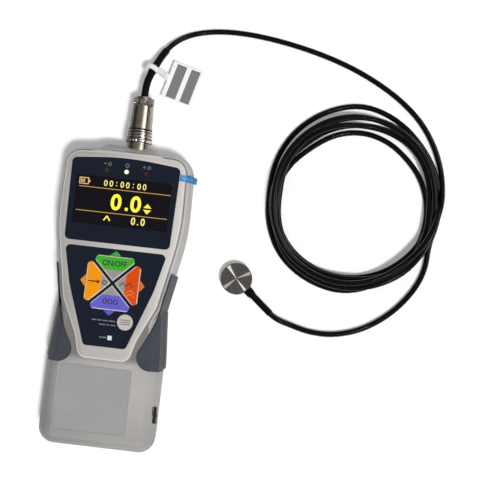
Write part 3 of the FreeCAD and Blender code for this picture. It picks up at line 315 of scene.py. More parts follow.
def housing_finish():
    """Silver-grey moulding with painted shade: darker to the left and on the slopes under the bezel,
    where less light falls, and darker towards the foot, with a painted dark line of shade along the
    crease under the bezel and a painted highlight along the bezel's edge over it"""
    light, dark, slope = srgb(203, 199, 195), srgb(148, 146, 144), srgb(112, 111, 109)
    paint = Paint("housing_moulding", light, 0.42, Specular_IOR_Level=0.3)
    where = paint.place()
    x, y, z = paint.parts(where)
    speck = paint.noise(where, 7.0, 3.0)
    cloud = paint.noise(where, 0.035, 2.0)
    # Painted shade: darker to the left, most on the raised bezel near the middle
    left = x.step(16.0, -24.0)
    raised = z.step(31.3, 32.4)
    lower = y.step(12.0, -16.0) * 0.3 + y.step(-30.0, -40.0) * 0.2 + y.step(-50.0, -86.0) * 0.3
    middle = y.step(-18.0, 2.0)
    shade = paint.mix(left * (raised * middle * 0.36 + 0.26) + lower + cloud * 0.1, light, dark)
    # Painted shade on the slopes under the bezel, more at the left
    under = z.step(30.9, 26.0) * (left * 0.45 + 0.12)
    shade = paint.mix(under, shade, slope)
    # A painted dark line of shade along the crease under the bezel
    crease = (z.step(30.6, 31.0) * z.step(31.8, 31.35)) * y.step(-38.0, -33.0)
    shade = paint.mix(crease * 0.9, shade, srgb(108, 105, 101))
    # A painted highlight along the bezel's outer edge
    rim = z.step(32.3, 32.7) * z.step(33.5, 33.1)
    shade = paint.mix(rim * 0.6, shade, srgb(228, 226, 222))
    paint.set(Base_Color=paint.mix(speck * 0.22, shade, tinted(dark, 0.9)))
    paint.set(Roughness=speck * 0.15 + 0.36)
    paint.set(Normal=paint.relief(paint.noise(where, 2.6, 4.0), 0.014))
    return paint


def grip_finish():
    """Soft rubber, matt, with a fine stipple, a bloom where hands rub it and dark rims of painted shade"""
    base, blotches = srgb(56, 59, 67), srgb(72, 74, 80)
    paint = Paint("grip_rubber", base, 0.6, Specular_IOR_Level=0.35)
    where = paint.place()
    stipple = paint.add("TexVoronoi", {"feature": "F1"}, where, at={2: 1.9})
    cloud = paint.noise(where, 0.09, 3.0)
    x, y, z = paint.parts(where)
    nx, ny, _ = paint.parts(paint.add("NewGeometry", {}, out=1))
    # Painted shade: the rims that face the housing go near black, as the gap between them
    inner_rim_shade = (nx * x).step(-2.0, -7.0) * y.step(2.0, -6.0)
    lower_rim_shade = ny.step(-0.25, -0.6) * (z > 25.0)
    face = paint.mix(cloud.step(0.35, 0.75) * 0.6, base, blotches)
    rim = inner_rim_shade.maths("MAXIMUM", inner_rim_shade, lower_rim_shade) * 0.85
    paint.set(Base_Color=paint.mix(rim, face, srgb(14, 15, 18)))
    paint.set(Roughness=cloud * 0.2 + 0.45)
    paint.set(Normal=paint.relief(stipple, 0.03))
    return paint


def overlay_finish():
    """Printed polyester film: navy, satin, with a faint emboss"""
    paint = Paint("overlay_film", srgb(24, 29, 42), 0.33, Specular_IOR_Level=0.12)
    where = paint.place()
    weave = paint.noise(where, 14.0, 2.0)
    cloud = paint.noise(where, 0.05, 2.0)
    paint.set(Base_Color=paint.mix(cloud * 0.5 + weave * 0.25, srgb(18, 24, 36), srgb(28, 34, 46)))
    paint.set(Roughness=weave * 0.16 + 0.26)
    paint.set(Normal=paint.relief(weave, 0.004))
    return paint


def lens_finish():
    """The dark window, with a faint grid of screen cells behind it"""
    paint = Paint("lens_window", srgb(12, 10, 14), 0.12, Specular_IOR_Level=0.25)
    where = paint.place()
    x, y, _ = paint.parts(where)
    grid = ((x * 2.4).maths("FRACT", x * 2.4) > 0.14) * ((y * 2.4).maths("FRACT", y * 2.4) > 0.14)
    smear = paint.noise(paint.stretched(where, (0.25, 0.08, 1.0)), 1.0, 3.0)
    shade = paint.mix(grid * 0.6, srgb(6, 5, 8), srgb(17, 13, 21))
    paint.set(Base_Color=paint.mix(smear.step(0.5, 0.8) * 0.35, shade, srgb(28, 25, 26)))
    paint.set(Roughness=smear * 0.12 + 0.08)
    return paint


def key_finish(name, color, direction, grey=(146, 143, 138), split=7.2):
    """Two-colour key: bright outside, grey near the middle, with a pale printed rim"""
    paint = Paint(name, srgb(*color), 0.38, Specular_IOR_Level=0.2)
    where = paint.place()
    x, y, z = paint.parts(where)
    dx, dy = direction
    out = (x - KEY_CENTRE[0]) * dx + (y - KEY_CENTRE[1]) * dy
    across = abs((x - KEY_CENTRE[0]) * dy - (y - KEY_CENTRE[1]) * dx)
    speck = paint.noise(where, 5.0, 3.0)
    ripple = paint.noise(where, 0.7, 2.0) * 0.5 - 0.25
    inner = (out + ripple).step(split + 0.15, split - 0.15)
    side = (out - KEY_APEX - across) / math.sqrt(2)
    edge = paint.add("Math", {"operation": "SMOOTH_MIN"}, side, KEY_REACH - out, 1.2)
    rim = edge.step(0.62, 0.45) * (z > KEY_TOP - 0.6)
    body = paint.mix(inner, paint.mix(speck * 0.6, srgb(*color), tinted(srgb(*color), 0.8)), srgb(*grey))
    paint.set(Base_Color=paint.mix(rim * 0.75, body, srgb(214, 208, 200)))
    paint.set(Roughness=speck * 0.16 + 0.3)
    paint.set(Normal=paint.relief(paint.noise(where, 2.0, 3.0), 0.012))
    return paint


def round_key_finish():
    paint = Paint("menu_key_cap", srgb(186, 182, 172), 0.4, Specular_IOR_Level=0.2)
    where = paint.place()
    speck = paint.noise(where, 5.0, 3.0)
    paint.set(Base_Color=paint.mix(speck, srgb(176, 172, 162), srgb(196, 192, 184)))
    paint.set(Roughness=speck * 0.15 + 0.32)
    paint.set(Normal=paint.relief(paint.noise(where, 2.0, 3.0), 0.012))
    return paint


def plated(name, color, axis=None, roughness=0.24, centre=(0.0, 0.0, 0.0), dents=0.0):
    """Plated metal with fine rings. One that lies along Y is darker at the left, in blotches, as a painted
    dark reflection, has painted shade darkening its grooves, and a painted dark reflection line along
    the right flank. A cast one has pits and dents."""
    paint = Paint(name, color, roughness, 1.0)
    where = paint.place()
    offset = paint.add("VectorMath", {"operation": "SUBTRACT"}, where, centre)
    line = paint.stretched(offset, (0.25, 14.0, 0.25) if axis == "y" else (3.0, 3.0, 3.0))
    rings = paint.noise(line, 1.0, 3.0, 0.7)
    stain = paint.noise(offset, 0.28, 4.0)
    shade = paint.mix(stain.step(0.3, 0.8), color, tinted(color, 0.78))
    if axis == "y":
        nx, ny, _ = paint.parts(paint.add("NewGeometry", {}, out=1))
        # Painted dark reflections at the left and along the right flank, and painted shade in the grooves
        left = nx.step(-0.2, -0.6)
        flank_reflection = nx.step(0.5, 0.57) * nx.step(0.68, 0.62)
        groove = abs(ny).step(0.15, 0.5)
        blotches = paint.noise(where, 1.3, 3.0).step(0.35, 0.6)
        shade = paint.mix(left * (blotches * 0.4 + 0.5), shade, tinted(color, 0.08))
        shade = paint.mix(flank_reflection * 0.9, shade, tinted(color, 0.06))
        shade = paint.mix(groove * 0.85, shade, tinted(color, 0.06))
    lines = {0: 1.0, 1: 0.02 * MM, 3: rings}
    if dents:
        pits = paint.noise(where, 0.85, 3.0).step(0.5, 0.56)
        shade = paint.mix(pits * 0.85, shade, tinted(color, 0.05))
        lines[4] = paint.relief(paint.noise(where, 0.75, 2.0), dents)
    paint.set(Base_Color=shade)
    paint.set(Roughness=rings * 0.2 + (roughness - 0.08) + stain * 0.08)
    paint.set(Normal=paint.add("Bump", {}, at=lines))
    return paint


def turned_finish(name, color, centre):
    """A face-turned steel disc: dark, with a fine ring grain and bright bow-tie gleams along two lines
    through its middle, painted highlights in pale colour where the turning would give them"""
    paint = Paint(name, color, 0.3, 0.9)
    where = paint.place()
    offset = paint.add("VectorMath", {"operation": "SUBTRACT"}, where, (*centre, 0.0))
    x, y, _ = paint.parts(offset)
    radius = (x * x + y * y) ** 0.5
    face = paint.parts(paint.add("NewGeometry", {}, out=1))[2].step(0.8, 0.95)
    ring = paint.noise(paint.add("CombineXYZ", {}, radius * 5.0, 0.0, 0.0), 1.0, 3.0, 0.7)
    stain = paint.noise(offset, 0.4, 3.0)
    gleam = None
    for angle, wide, share in CELL_GLEAMS:
        turn = math.radians(angle)
        off = abs(x * math.sin(turn) - y * math.cos(turn)) / (radius + 0.6)
        ahead = (x * math.cos(turn) + y * math.sin(turn)).step(0.0, 0.8)
        fan = off.step(wide, 0.02) * ahead * share
        gleam = fan if gleam is None else gleam.maths("MAXIMUM", gleam, fan)
    gleam = gleam * face * (ring * 0.5 + 0.72)
    speck = paint.noise(where, 1.6, 4.0, 0.7).step(0.36, 0.64)
    dull = paint.mix(speck * 0.6 + ring * 0.4, tinted(color, 0.55), tinted(color, 1.5))
    # Painted highlights: the gleams are pale colour with less metal
    paint.set(Base_Color=paint.mix(gleam, dull, (0.86, 0.85, 0.83)))
    paint.set(Metallic=0.9 - gleam * 0.85)
    paint.set(Roughness=stain * 0.08 + 0.28 + gleam * 0.15)
    paint.set(Normal=paint.relief(ring, 0.012))
    return paint


def jacket_finish(name, color, roughness=0.17, grain=0.002, sheen=0.17):
    paint = Paint(name, color, roughness, Specular_IOR_Level=sheen)
    where = paint.place()
    dust = paint.noise(where, 0.5, 5.0, 0.7)
    pores = paint.noise(where, 6.0, 3.0)
    paint.set(Base_Color=paint.mix(dust.step(0.45, 0.85), color, tinted(color, 1.8)))
    paint.set(Roughness=pores * 0.06 + dust * 0.08 + (roughness - 0.07))
    paint.set(Normal=paint.relief(pores, grain))
    return paint


def plate_finish():
    """Bare silver label stock with a fine straight grain"""
    paint = Paint("plate_stock", srgb(180, 180, 181), 0.4, 0.25)
    where = paint.place()
    lines = paint.noise(paint.stretched(where, (0.4, 9.0, 1.0)), 1.0, 3.0)
    cloud = paint.noise(where, 0.08, 2.0)
    paint.set(Base_Color=paint.mix(lines * 0.5 + cloud * 0.4, srgb(150, 150, 152), srgb(176, 175, 174)))
    paint.set(Roughness=lines * 0.2 + 0.3)
    paint.set(Normal=paint.relief(lines, 0.004))
    return paint


def film_finish():
    paint = Paint("pull_tab_film", srgb(45, 140, 200), 0.2)
    where = paint.place()
    cloud = paint.noise(where, 0.5, 3.0)
    x = paint.parts(where)[0]
    streak = paint.noise(paint.stretched(where, (0.2, 1.6, 0.2)), 1.0, 3.0)
    shade = paint.mix(streak.step(0.35, 0.65), srgb(30, 96, 165), srgb(58, 158, 212))
    paint.set(Base_Color=paint.mix(x.step(38.0, 43.0) * 0.5, shade, srgb(120, 180, 220)))
    paint.set(Roughness=cloud * 0.2 + 0.12)
    paint.set(Normal=paint.relief(cloud, 0.1))
    return paint


def tag_finish():
    """White card, with painted shade that makes its cut edges greyer"""
    paint = Paint("tag_card", srgb(240, 240, 238), 0.45, Specular_IOR_Level=0.3)
    where = paint.place()
    fibre = paint.noise(where, 4.0, 4.0)
    nz = paint.parts(paint.add("NewGeometry", {}, out=1))[2]
    # Painted shade on the card's cut edges
    cut = abs(nz).step(0.4, 0.12)
    face = paint.mix(fibre, srgb(228, 229, 228), srgb(242, 242, 240))
    paint.set(Base_Color=paint.mix(cut * 0.8, face, srgb(120, 122, 122)))
    paint.set(Roughness=fibre * 0.2 + 0.36)
    paint.set(Normal=paint.relief(fibre, 0.01))
    return paint


def ink(name, color, roughness=0.5):
    """Printing ink, a little uneven where it lies on the grain"""
    paint = Paint(name, color, roughness)
    where = paint.place()
    grain = paint.noise(where, 8.0, 3.0)
    paint.set(Base_Color=paint.mix(grain, tinted(color, 0.88), tinted(color, 1.1)))
    paint.set(Roughness=grain * 0.2 + (roughness - 0.1))
    return paint


def glowing(name, color, strength):
    paint = Paint(name, tinted(color, 0.2), 0.3, Emission_Strength=strength)
    where = paint.place()
    flicker = paint.noise(where, 2.0, 2.0)
    paint.set(Emission_Color=paint.mix(flicker, tinted(color, 0.9), color))
    return paint


def board_finish():
    paint = Paint("board_laminate", (0.02, 0.16, 0.06), 0.35)
    where = paint.place()
    tracks = paint.add("TexVoronoi", {"feature": "DISTANCE_TO_EDGE"}, where, at={2: 0.35})
    paint.set(Base_Color=paint.mix(tracks.step(0.02, 0.06), (0.05, 0.3, 0.1), (0.015, 0.13, 0.05)))
    paint.set(Roughness=tracks * 0.2 + 0.25)
    paint.set(Normal=paint.relief(tracks, 0.03))
    return paint


def dress(names, paint):
    for name in names:
        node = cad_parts[name]
        node.data.materials.clear()
        node.data.materials.append(paint.material)


# Making pieces


def add_mesh(name, mesh, paint, body):
    piece = bpy.data.objects.new(name, mesh)
    bpy.context.scene.collection.objects.link(piece)
    mesh.materials.clear()
    mesh.materials.append(paint.material)
    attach(piece, body)
    return piece


def mesh_from(name, form):
    bmesh.ops.recalc_face_normals(form, faces=form.faces)
    mesh = bpy.data.meshes.new(name)
    form.to_mesh(mesh)
    form.free()
    return mesh


def join_rings(form, rings):
    """Faces between each closed ring of corners and the next"""
    for a, b in zip(rings, rings[1:]):
        for j in range(len(a)):
            form.faces.new((a[j - 1], a[j], b[j], b[j - 1]))


def part_way(value, start, end):
    """How far a value is from start to end, as 0 to 1"""
    return min(1.0, max(0.0, (value - start) / (end - start)))


def thin_print(name, outlines, z, paint, body, thick=0.03):
    """Flat shapes with a little thickness, such as ink or lit segments"""
    form = bmesh.new()
    for outline in outlines:
        low = [form.verts.new(mm(x, y, z)) for x, y in outline]
        top = [form.verts.new(mm(x, y, z + thick)) for x, y in outline]
        form.faces.new(top)
        for k in range(len(outline)):
            form.faces.new((low[k - 1], low[k], top[k], top[k - 1]))
    return add_mesh(name, mesh_from(name, form), paint, body)


def bar(x0, y0, x1, y1):
    return [(x0, y0), (x1, y0), (x1, y1), (x0, y1)]


def ring_outline(x, y, radius, width, count=28):
    """A ring as short quads"""
    quads = []
    for k in range(count):
        corners = []
        for turn, r in ((k, radius - width), (k, radius), (k + 1, radius), (k + 1, radius - width)):
            angle = 2 * math.pi * turn / count
            corners.append((x + r * math.cos(angle), y + r * math.sin(angle)))
        quads.append(corners)
    return quads


def stroke(points, width):
    """A pen line as quads"""
    quads = []
    for (ax, ay), (bx, by) in zip(points, points[1:]):
        length = math.hypot(bx - ax, by - ay)
        nx, ny = -(by - ay) / length * width / 2, (bx - ax) / length * width / 2
        quads.append([(ax - nx, ay - ny), (bx - nx, by - ny), (bx + nx, by + ny), (ax + nx, ay + ny)])
    return quads


def words(name, text, x, y, height, width, z, paint, body, bold=0.0):
    """Plain figures or ON/OFF as thin letters, fitted to a height and width about a point"""
    curve = bpy.data.curves.new(name, "FONT")
    curve.body = text
    curve.size = height * MM
    curve.offset = bold * MM
    curve.extrude = 0.015 * MM
    curve.resolution_u = 4
    maker = bpy.data.objects.new(name + "_maker", curve)
    bpy.context.scene.collection.objects.link(maker)
    mesh = bpy.data.meshes.new_from_object(maker)
    bpy.data.objects.remove(maker)
    mesh.name = name
    low = Vector([min(v.co[k] for v in mesh.vertices) for k in range(3)])
    high = Vector([max(v.co[k] for v in mesh.vertices) for k in range(3)])
    size = high - low
    fit = Matrix.Diagonal((width * MM / size.x, height * MM / size.y, 1, 1))
    mesh.transform(Matrix.Translation(mm(x, y, z)) @ fit @ Matrix.Translation(-(low + high) / 2))
    return add_mesh(name, mesh, paint, body)


# The grips, and a black sheet of painted shade over the data socket's slot


def side_grips(paint):
    """The rubber grips, drawn in at their upper rim, and a little more from y -3 to 14"""
    for side in ("left", "right"):
        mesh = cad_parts[side + "_grip"].data.copy()
        reach = [(v.co.y / MM, abs(v.co.x) / MM) for v in mesh.vertices if v.co.z > 18 * MM]
        for v in mesh.vertices:
            x, y, z = v.co / MM
            near = [r for at, r in reach if abs(at - y) < 5.0]
            edge = max(near) if near else abs(x)
            share = part_way(abs(x), edge - 4.5, edge - 1.5)
            high = part_way(z, 13.5, 19.5)
            fin = part_way(y, -3.0, 5.0) * part_way(y, 14.0, 8.0)
            draw = share * (GRIP_DRAW * high + fin * (0.4 + 0.2 * high))
            v.co.x -= math.copysign(draw * MM, x)
        piece = add_mesh(side + "_grip_rubber", mesh, paint, "gauge")
        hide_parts(side + "_grip")


def border(grid):
    """The corners round a grid, in order"""
    right = [row[-1] for row in grid[1:]]
    left = [row[0] for row in grid[-2:0:-1]]
    return grid[0] + right + grid[-1][-2::-1] + left


def port_slot_shade(paint):
    """A black sheet of painted shade over the data socket's slot, where the slot runs up on to the sloping
    side
    """
    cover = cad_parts["front_cover"].data
    tree = BVHTree.FromPolygons([v.co for v in cover.vertices], [p.vertices for p in cover.polygons])
    rows, columns = 25, 7
    form = bmesh.new()
    top, low = [], []
    for k in range(rows):
        along = 2 * k / (rows - 1) - 1
        bend = part_way(abs(along), PORT_STRAIGHT, 1.0)
        half = PORT_HALF_WIDTH * (PORT_TIP + (1 - PORT_TIP) * math.sqrt(1 - bend * bend))
        y = PORT_Y + along * PORT_HALF_LENGTH
        middle = PORT_X + (PORT_Y - y) * PORT_LEAN
        top.append([])
        low.append([])
        for j in range(columns):
            x = min(PORT_WALL, middle + half * (2 * j / (columns - 1) - 1))
            hit, normal, _, _ = tree.ray_cast(mm(x, y, 60.0), Vector((0, 0, -1)))
            if hit is None:
                print("port_slot_shade left out: no surface at %.1f %.1f" % (x, y))
                return
            top[-1].append(form.verts.new(hit + normal * PORT_PROUD * MM))
            low[-1].append(form.verts.new(hit - normal * PORT_SUNK * MM))
    for grid in (top, low):
        for a, b in zip(grid, grid[1:]):
            for j in range(columns - 1):
                form.faces.new((a[j], a[j + 1], b[j + 1], b[j]))
    join_rings(form, [border(top), border(low)])
    add_mesh("port_slot_shade", mesh_from("port_slot_shade", form), paint, "gauge")


# The lead


def coil_points():
    """Turns that lie on each other: each rests on those wound before it"""
    reach = [r for turn in COIL_TURNS for r in turn] + list(COIL_END)
    last = len(COIL_TURNS) * STATIONS
    step = STATIONS / 8
    tracks = []
    for k in range(last + 1):
        spot = k / step
        first = int(spot)
        ease = (1 - math.cos(math.pi * (spot - first))) / 2
        radius = reach[first] + (reach[first + 1] - reach[first]) * ease
        tracks.append((-2 * math.pi * k / STATIONS, radius))
    apart = CORD * 1.02
    heights = [0.0] * (last + 1)
    for k in range(last, -1, -1):
        z = TABLE_Z
        for j in range(k + STATIONS, last + 1, STATIONS):
            for near in (j - 1, j, j + 1):
                beside = abs(tracks[k][1] - tracks[min(near, last)][1])
                if beside < apart:
                    z = max(z, heights[min(near, last)] + math.sqrt(apart**2 - beside**2))
        heights[k] = z
    smooth = []
    for k in range(last + 1):
        window = [heights[min(max(k + d, 0), last)] for d in (-1, 0, 1)]
        smooth.append(max(heights[k], sum(window) / 3))
    # The smooth line runs inside its points by this share
    swell = 1 / (0.75 + 0.25 * math.cos(2 * math.pi / STATIONS))
    return [
        (COIL_CENTRE[0] + r * swell * math.cos(a), COIL_CENTRE[1] + r * swell * math.sin(a), z)
        for (a, r), z in zip(tracks, smooth)
    ]


def smooth_curve(name, points, radius):
    curve = bpy.data.curves.new(name, "CURVE")
    curve.dimensions = "3D"
    spline = curve.splines.new("NURBS")
    spline.points.add(len(points) - 1)
    for point, place in zip(spline.points, points):
        point.co = (*mm(*place), 1.0)
    spline.order_u = 3
    spline.use_endpoint_u = True
    spline.resolution_u = 5
    curve.bevel_depth = radius * MM
    curve.bevel_resolution = 4
    curve.use_fill_caps = True
    return curve


def read_line(points, steps=12):
    """Points read from the route's own smooth line"""
    curve = smooth_curve("line_maker", points, 0.0)
    curve.splines[0].resolution_u = steps
    maker = bpy.data.objects.new("line_maker", curve)
    bpy.context.scene.collection.objects.link(maker)
    mesh = bpy.data.meshes.new_from_object(maker)
    line = [v.co.copy() for v in mesh.vertices]
    bpy.data.objects.remove(maker)
    return line


def tube_along(name, line, radii, paint, body, sides=20):
    """A tube with a radius for each point of a line, closed at both ends"""
    form = bmesh.new()
    rings = []
    side = None
    for k, point in enumerate(line):
        ahead = (line[min(k + 1, len(line) - 1)] - line[max(k - 1, 0)]).normalized()
        if side is None:
            side = ahead.cross(Vector((0, 0, 1))).normalized()
        side = (side - ahead * side.dot(ahead)).normalized()
        up = ahead.cross(side)
        ring = []
        for j in range(sides):
            angle = 2 * math.pi * j / sides
            out = side * math.cos(angle) + up * math.sin(angle)
            ring.append(form.verts.new(point + out * radii[k] * MM))
        rings.append(ring)
    join_rings(form, rings)
    form.faces.new(rings[0])
    form.faces.new(reversed(rings[-1]))
    for face in form.faces:
        face.smooth = len(face.verts) == 4
    return add_mesh(name, mesh_from(name, form), paint, body)


def nut_rings(paint):
    """The coupling nut: deep turned rings behind a fluted mouth, narrower to the back"""
    form = bmesh.new()
    sides, steps = 96, 60
    profile = [(NUT_START, NUT_BORE), (NUT_START, NUT_RADIUS - 0.2)]
    for k in range(1, steps):
        y = NUT_START + (NUT_END - NUT_START) * k / steps
        near = min(abs(y - groove) for groove in NUT_GROOVES)
        cut = GROOVE_DEPTH * part_way(near, GROOVE_HALF_TOP, GROOVE_HALF_FLOOR)
        profile.append((y, NUT_RADIUS - NUT_TAPER * k / steps - cut))
    lip = NUT_END - NUT_LIP
    profile += [(NUT_END, NUT_RADIUS - 1.0), (NUT_END, NUT_LIP_BORE), (lip, NUT_LIP_BORE), (lip, NUT_BORE)]
    rings = []
    for y, radius in profile:
        ring = []
        for j in range(sides):
            angle = 2 * math.pi * j / sides
            fluted = y < FLUTES_END and radius > NUT_RADIUS - 0.5 and j % 4 < 2
            r = radius - FLUTE_DEPTH if fluted else radius
            spot = mm(SOCKET_X + r * math.cos(angle), y, SOCKET_Z + r * math.sin(angle))
            ring.append(form.verts.new(spot))
        rings.append(ring)
    join_rings(form, rings + rings[:1])
    piece = add_mesh("nut_rings", mesh_from("nut_rings", form), paint, "coupling_nut")
    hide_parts("coupling_nut")
    return piece


def lay_lead():
    jacket = jacket_finish("lead_jacket", (0.0024, 0.0024, 0.0026))
    shrink = jacket_finish("shrink_tube", (0.0026, 0.0026, 0.003), 0.42, 0.014, 0.06)
    axis = Vector((math.cos(GLAND_DIRECTION), math.sin(GLAND_DIRECTION), 0))
    root = Vector((*CELL_CENTRE, CELL_MIDDLE_Z))
    end = root + axis * TAIL_REACH
    ahead = root + axis * (TAIL_REACH + 4.0) - Vector((0, 0, 0.3))
    route = LEAD_ROUTE + coil_points() + TAIL_ROUTE + [tuple(ahead), tuple(end)]
    curve = smooth_curve("sensor_lead", route, CORD / 2)
    lead = bpy.data.objects.new("sensor_lead", curve)
    bpy.context.scene.collection.objects.link(lead)
    curve.materials.append(jacket.material)
    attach(lead, "sensor_lead")
    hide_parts("lead_run", "lead_coil", "lead_tail")

    line = read_line(route)
    # The shrink tube follows the lead's own line for its first part
    along, first = 0.0, [line[0] + Vector((0, -SLEEVE_START * MM, 0)), line[0]]
    for a, b in zip(line, line[1:]):
        along += (b - a).length
        first.append(b)
        if along > SLEEVE_LENGTH * MM:
            break
    radii = [SLEEVE / 2] * len(first)
    radii[-1] = SLEEVE / 2 - 0.12
    sleeve = tube_along("plug_sleeve_tube", first, radii, shrink, "sensor_lead", 24)
    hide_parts("plug_sleeve")
    nickel = plated("nickel_turned", srgb(176, 167, 152), "y", 0.22, (SOCKET_X, 0.0, SOCKET_Z))
    dress(["receptacle_shell", "receptacle_nut", "plug_shell"], nickel)
    # A lighter copy of the nickel on the nut, a painted highlight for its bright rings
    nut = nut_rings(plated("nickel_rings", srgb(224, 216, 204), "y", 0.2, (SOCKET_X, 0.0, SOCKET_Z)))
    tag = tied_tag(tag_finish())
    dress(["sensor_sleeve", "cell_gland"], shrink)


# The gauge's prints and lit segments


def frame_outline(x0, y0, x1, y1, width):
    """The four bars of an outlined box"""
    return [bar(x0, y0, x1, y0 + width), bar(x0, y1 - width, x1, y1),
            bar(x0, y0 + width, x0 + width, y1 - width), bar(x1 - width, y0 + width, x1, y1 - width)]


def screen_contents():
    bright = glowing("screen_digits", srgb(252, 236, 60), 1.0)
    pale = glowing("screen_figures", srgb(246, 232, 130), 0.95)
    cream = glowing("screen_battery", srgb(236, 196, 130), 0.8)
    rule = glowing("screen_rules", srgb(206, 160, 92), 0.85)
    z = OVERLAY_TOP + INK_GAP
    thin_print("screen_rule_bars", [bar(-24.9, 58.56, 26.4, 58.94), bar(-25.0, 45.21, 25.9, 45.59)],
               z, rule, "gauge")
    for k, x in enumerate((-10.2, -7.1, -1.0, 2.1, 8.4, 11.5)):
        words("screen_time_%d" % k, "0", x, 61.8, 3.4, 2.0, z, pale, "gauge", 0.05)
    colons = [bar(x - 0.28, y - 0.28, x + 0.28, y + 0.28) for x in (-4.1, 5.2) for y in (60.9, 62.7)]
    thin_print("screen_time_colons", colons, z, pale, "gauge")
    words("screen_value_left", "0", -3.2, 51.75, 9.2, 6.0, z, bright, "gauge", 0.27)
    words("screen_value_right", "0", 7.75, 51.75, 9.2, 6.0, z, bright, "gauge", 0.27)
    thin_print("screen_value_point", [bar(2.0, 47.6, 3.7, 49.3)], z, bright, "gauge")
    # A plain up-and-down arrow where the unit stands
    arrows = [[(12.1, 50.3), (16.7, 50.3), (14.4, 52.7)], [(12.1, 49.3), (14.4, 46.9), (16.7, 49.3)]]
    thin_print("screen_unit_arrows", arrows, z, bright, "gauge")
    for k, x in enumerate((7.4, 12.8)):
        words("screen_peak_%d" % k, "0", x, 42.3, 4.2, 2.4, z, pale, "gauge", 0.1)
    thin_print("screen_peak_point", [bar(9.75, 40.3, 10.45, 41.0)], z, pale, "gauge")
    peak = stroke([(-9.0, 41.0), (-7.25, 43.7), (-5.5, 41.0)], 0.75)
    thin_print("screen_peak_mark", peak, z, bright, "gauge")
    cell = frame_outline(-25.0, 60.0, -19.6, 63.8, 0.5)
    cell += [bar(-19.6, 61.2, -18.9, 62.6), bar(-24.0, 60.9, -23.2, 62.9), bar(-22.7, 60.9, -21.9, 62.9)]
    thin_print("screen_battery_box", cell, z, cream, "gauge")


def overlay_prints():
    z = OVERLAY_TOP + INK_GAP
    white = ink("print_white", srgb(214, 216, 218))
    dim = ink("print_dim", srgb(116, 120, 128))
    cx, cy = KEY_CENTRE
    tabs = {"green": ((0, 1), srgb(58, 150, 60)), "orange": ((-1, 0), srgb(214, 142, 20)),
            "red": ((1, 0), srgb(212, 104, 28)), "purple": ((0, -1), srgb(84, 82, 184))}
    for name, ((dx, dy), color) in tabs.items():
        shape = [(KEY_REACH + 0.25, -3.3), (KEY_REACH + 0.25, 3.3), (KEY_REACH + 3.0, 0.0)]
        spots = [(cx + u * dx - v * dy, cy + u * dy + v * dx) for u, v in shape]
        thin_print("arrow_" + name, [spots], z, ink("print_" + name, color), "gauge")
    # Small printed marks beside the menu key and at the foot of the panel
    long_row = [bar(x, -14.1, x + w, -13.5) for x, w in ((-8.7, 2.6), (-5.5, 2.2), (-2.7, 3.0), (0.9, 3.4))]
    short_row = [bar(x, -16.3, x + w, -15.75) for x, w in ((-4.4, 3.6), (-0.1, 1.4), (1.9, 2.8))]
    thin_print("menu_dashes", long_row + short_row, z, dim, "gauge")
    thin_print("panel_square", [bar(1.2, -24.2, 3.6, -21.8)], z, white, "gauge")
    foot = [bar(-3.3, -23.5, -2.3, -22.6), bar(-1.9, -23.5, -0.9, -22.6), bar(-0.5, -23.5, 0.5, -22.6)]
    thin_print("panel_dashes", foot, z, dim, "gauge")
    # A plain sign over each of the three lamps
    low, middle, high = -10.3, 0.6, 11.5
    signs = stroke([(low - 2.3, 72.6), (low - 0.6, 72.6)], 0.4) + ring_outline(low + 1.2, 72.6, 1.0, 0.35)
    signs += ring_outline(middle, 72.7, 1.15, 0.38)
    signs += stroke([(high - 2.3, 72.7), (high - 0.5, 72.7)], 0.4)
    signs += stroke([(high - 1.4, 71.8), (high - 1.4, 73.6)], 0.4)
    signs += ring_outline(high + 1.3, 72.7, 1.0, 0.35)
    thin_print("lamp_signs", signs, z, dim, "gauge")


def key_prints():
    z = KEY_TOP + INK_GAP / 2
    dark = ink("key_ink", srgb(30, 44, 34))
    deep = ink("key_ink_deep", srgb(52, 26, 34))
    pale = ink("key_ink_pale", srgb(240, 130, 80))
    cx, cy = KEY_CENTRE
    words("power_words", "ON/OFF", cx, cy + 10.9, 3.2, 13.4, z, dark, "power_key", 0.06)
    send = [bar(cx - 13.4, cy - 0.35, cx - 8.6, cy + 0.35)]
    send.append([(cx - 8.6, cy - 1.2), (cx - 6.6, cy), (cx - 8.6, cy + 1.2)])
    thin_print("send_arrow", send, z, deep, "send_key")
    thin_print("send_ring", ring_outline(cx - 4.4, cy, 1.3, 0.42), z, dark, "send_key")
    wave = [(cx + 4.0 + 1.8 * k, cy + (1.2 if k % 2 else -1.2)) for k in range(5)]
    thin_print("peak_wave", stroke(wave, 0.42), z, deep, "peak_key")
    arcs = stroke([(cx + 8.0, cy - 6.6), (cx + 10.4, cy - 4.9), (cx + 12.8, cy - 6.6)], 0.4)
    arcs += stroke([(cx + 8.0, cy - 4.6), (cx + 10.4, cy - 2.9), (cx + 12.8, cy - 4.6)], 0.4)
    thin_print("peak_arcs", arcs, z, pale, "peak_key")
    words("zero_figures", "000", cx, cy - 10.2, 3.0, 8.6, z, deep, "zero_key")
    bars = [bar(7.0, y, 12.6, y + 0.42) for y in (-14.95, -13.8, -12.65)]
    thin_print("menu_bars", bars, z, ink("key_ink_menu", srgb(96, 92, 80)), "menu_key")


def tag_place():
    """Where the flag lies, in millimetres"""
    turn = Matrix.Rotation(math.radians(TAG_TURN), 4, "Z") @ Matrix.Rotation(math.radians(TAG_DIP), 4, "Y")
    return Matrix.Translation(Vector(TAG_CENTRE)) @ turn


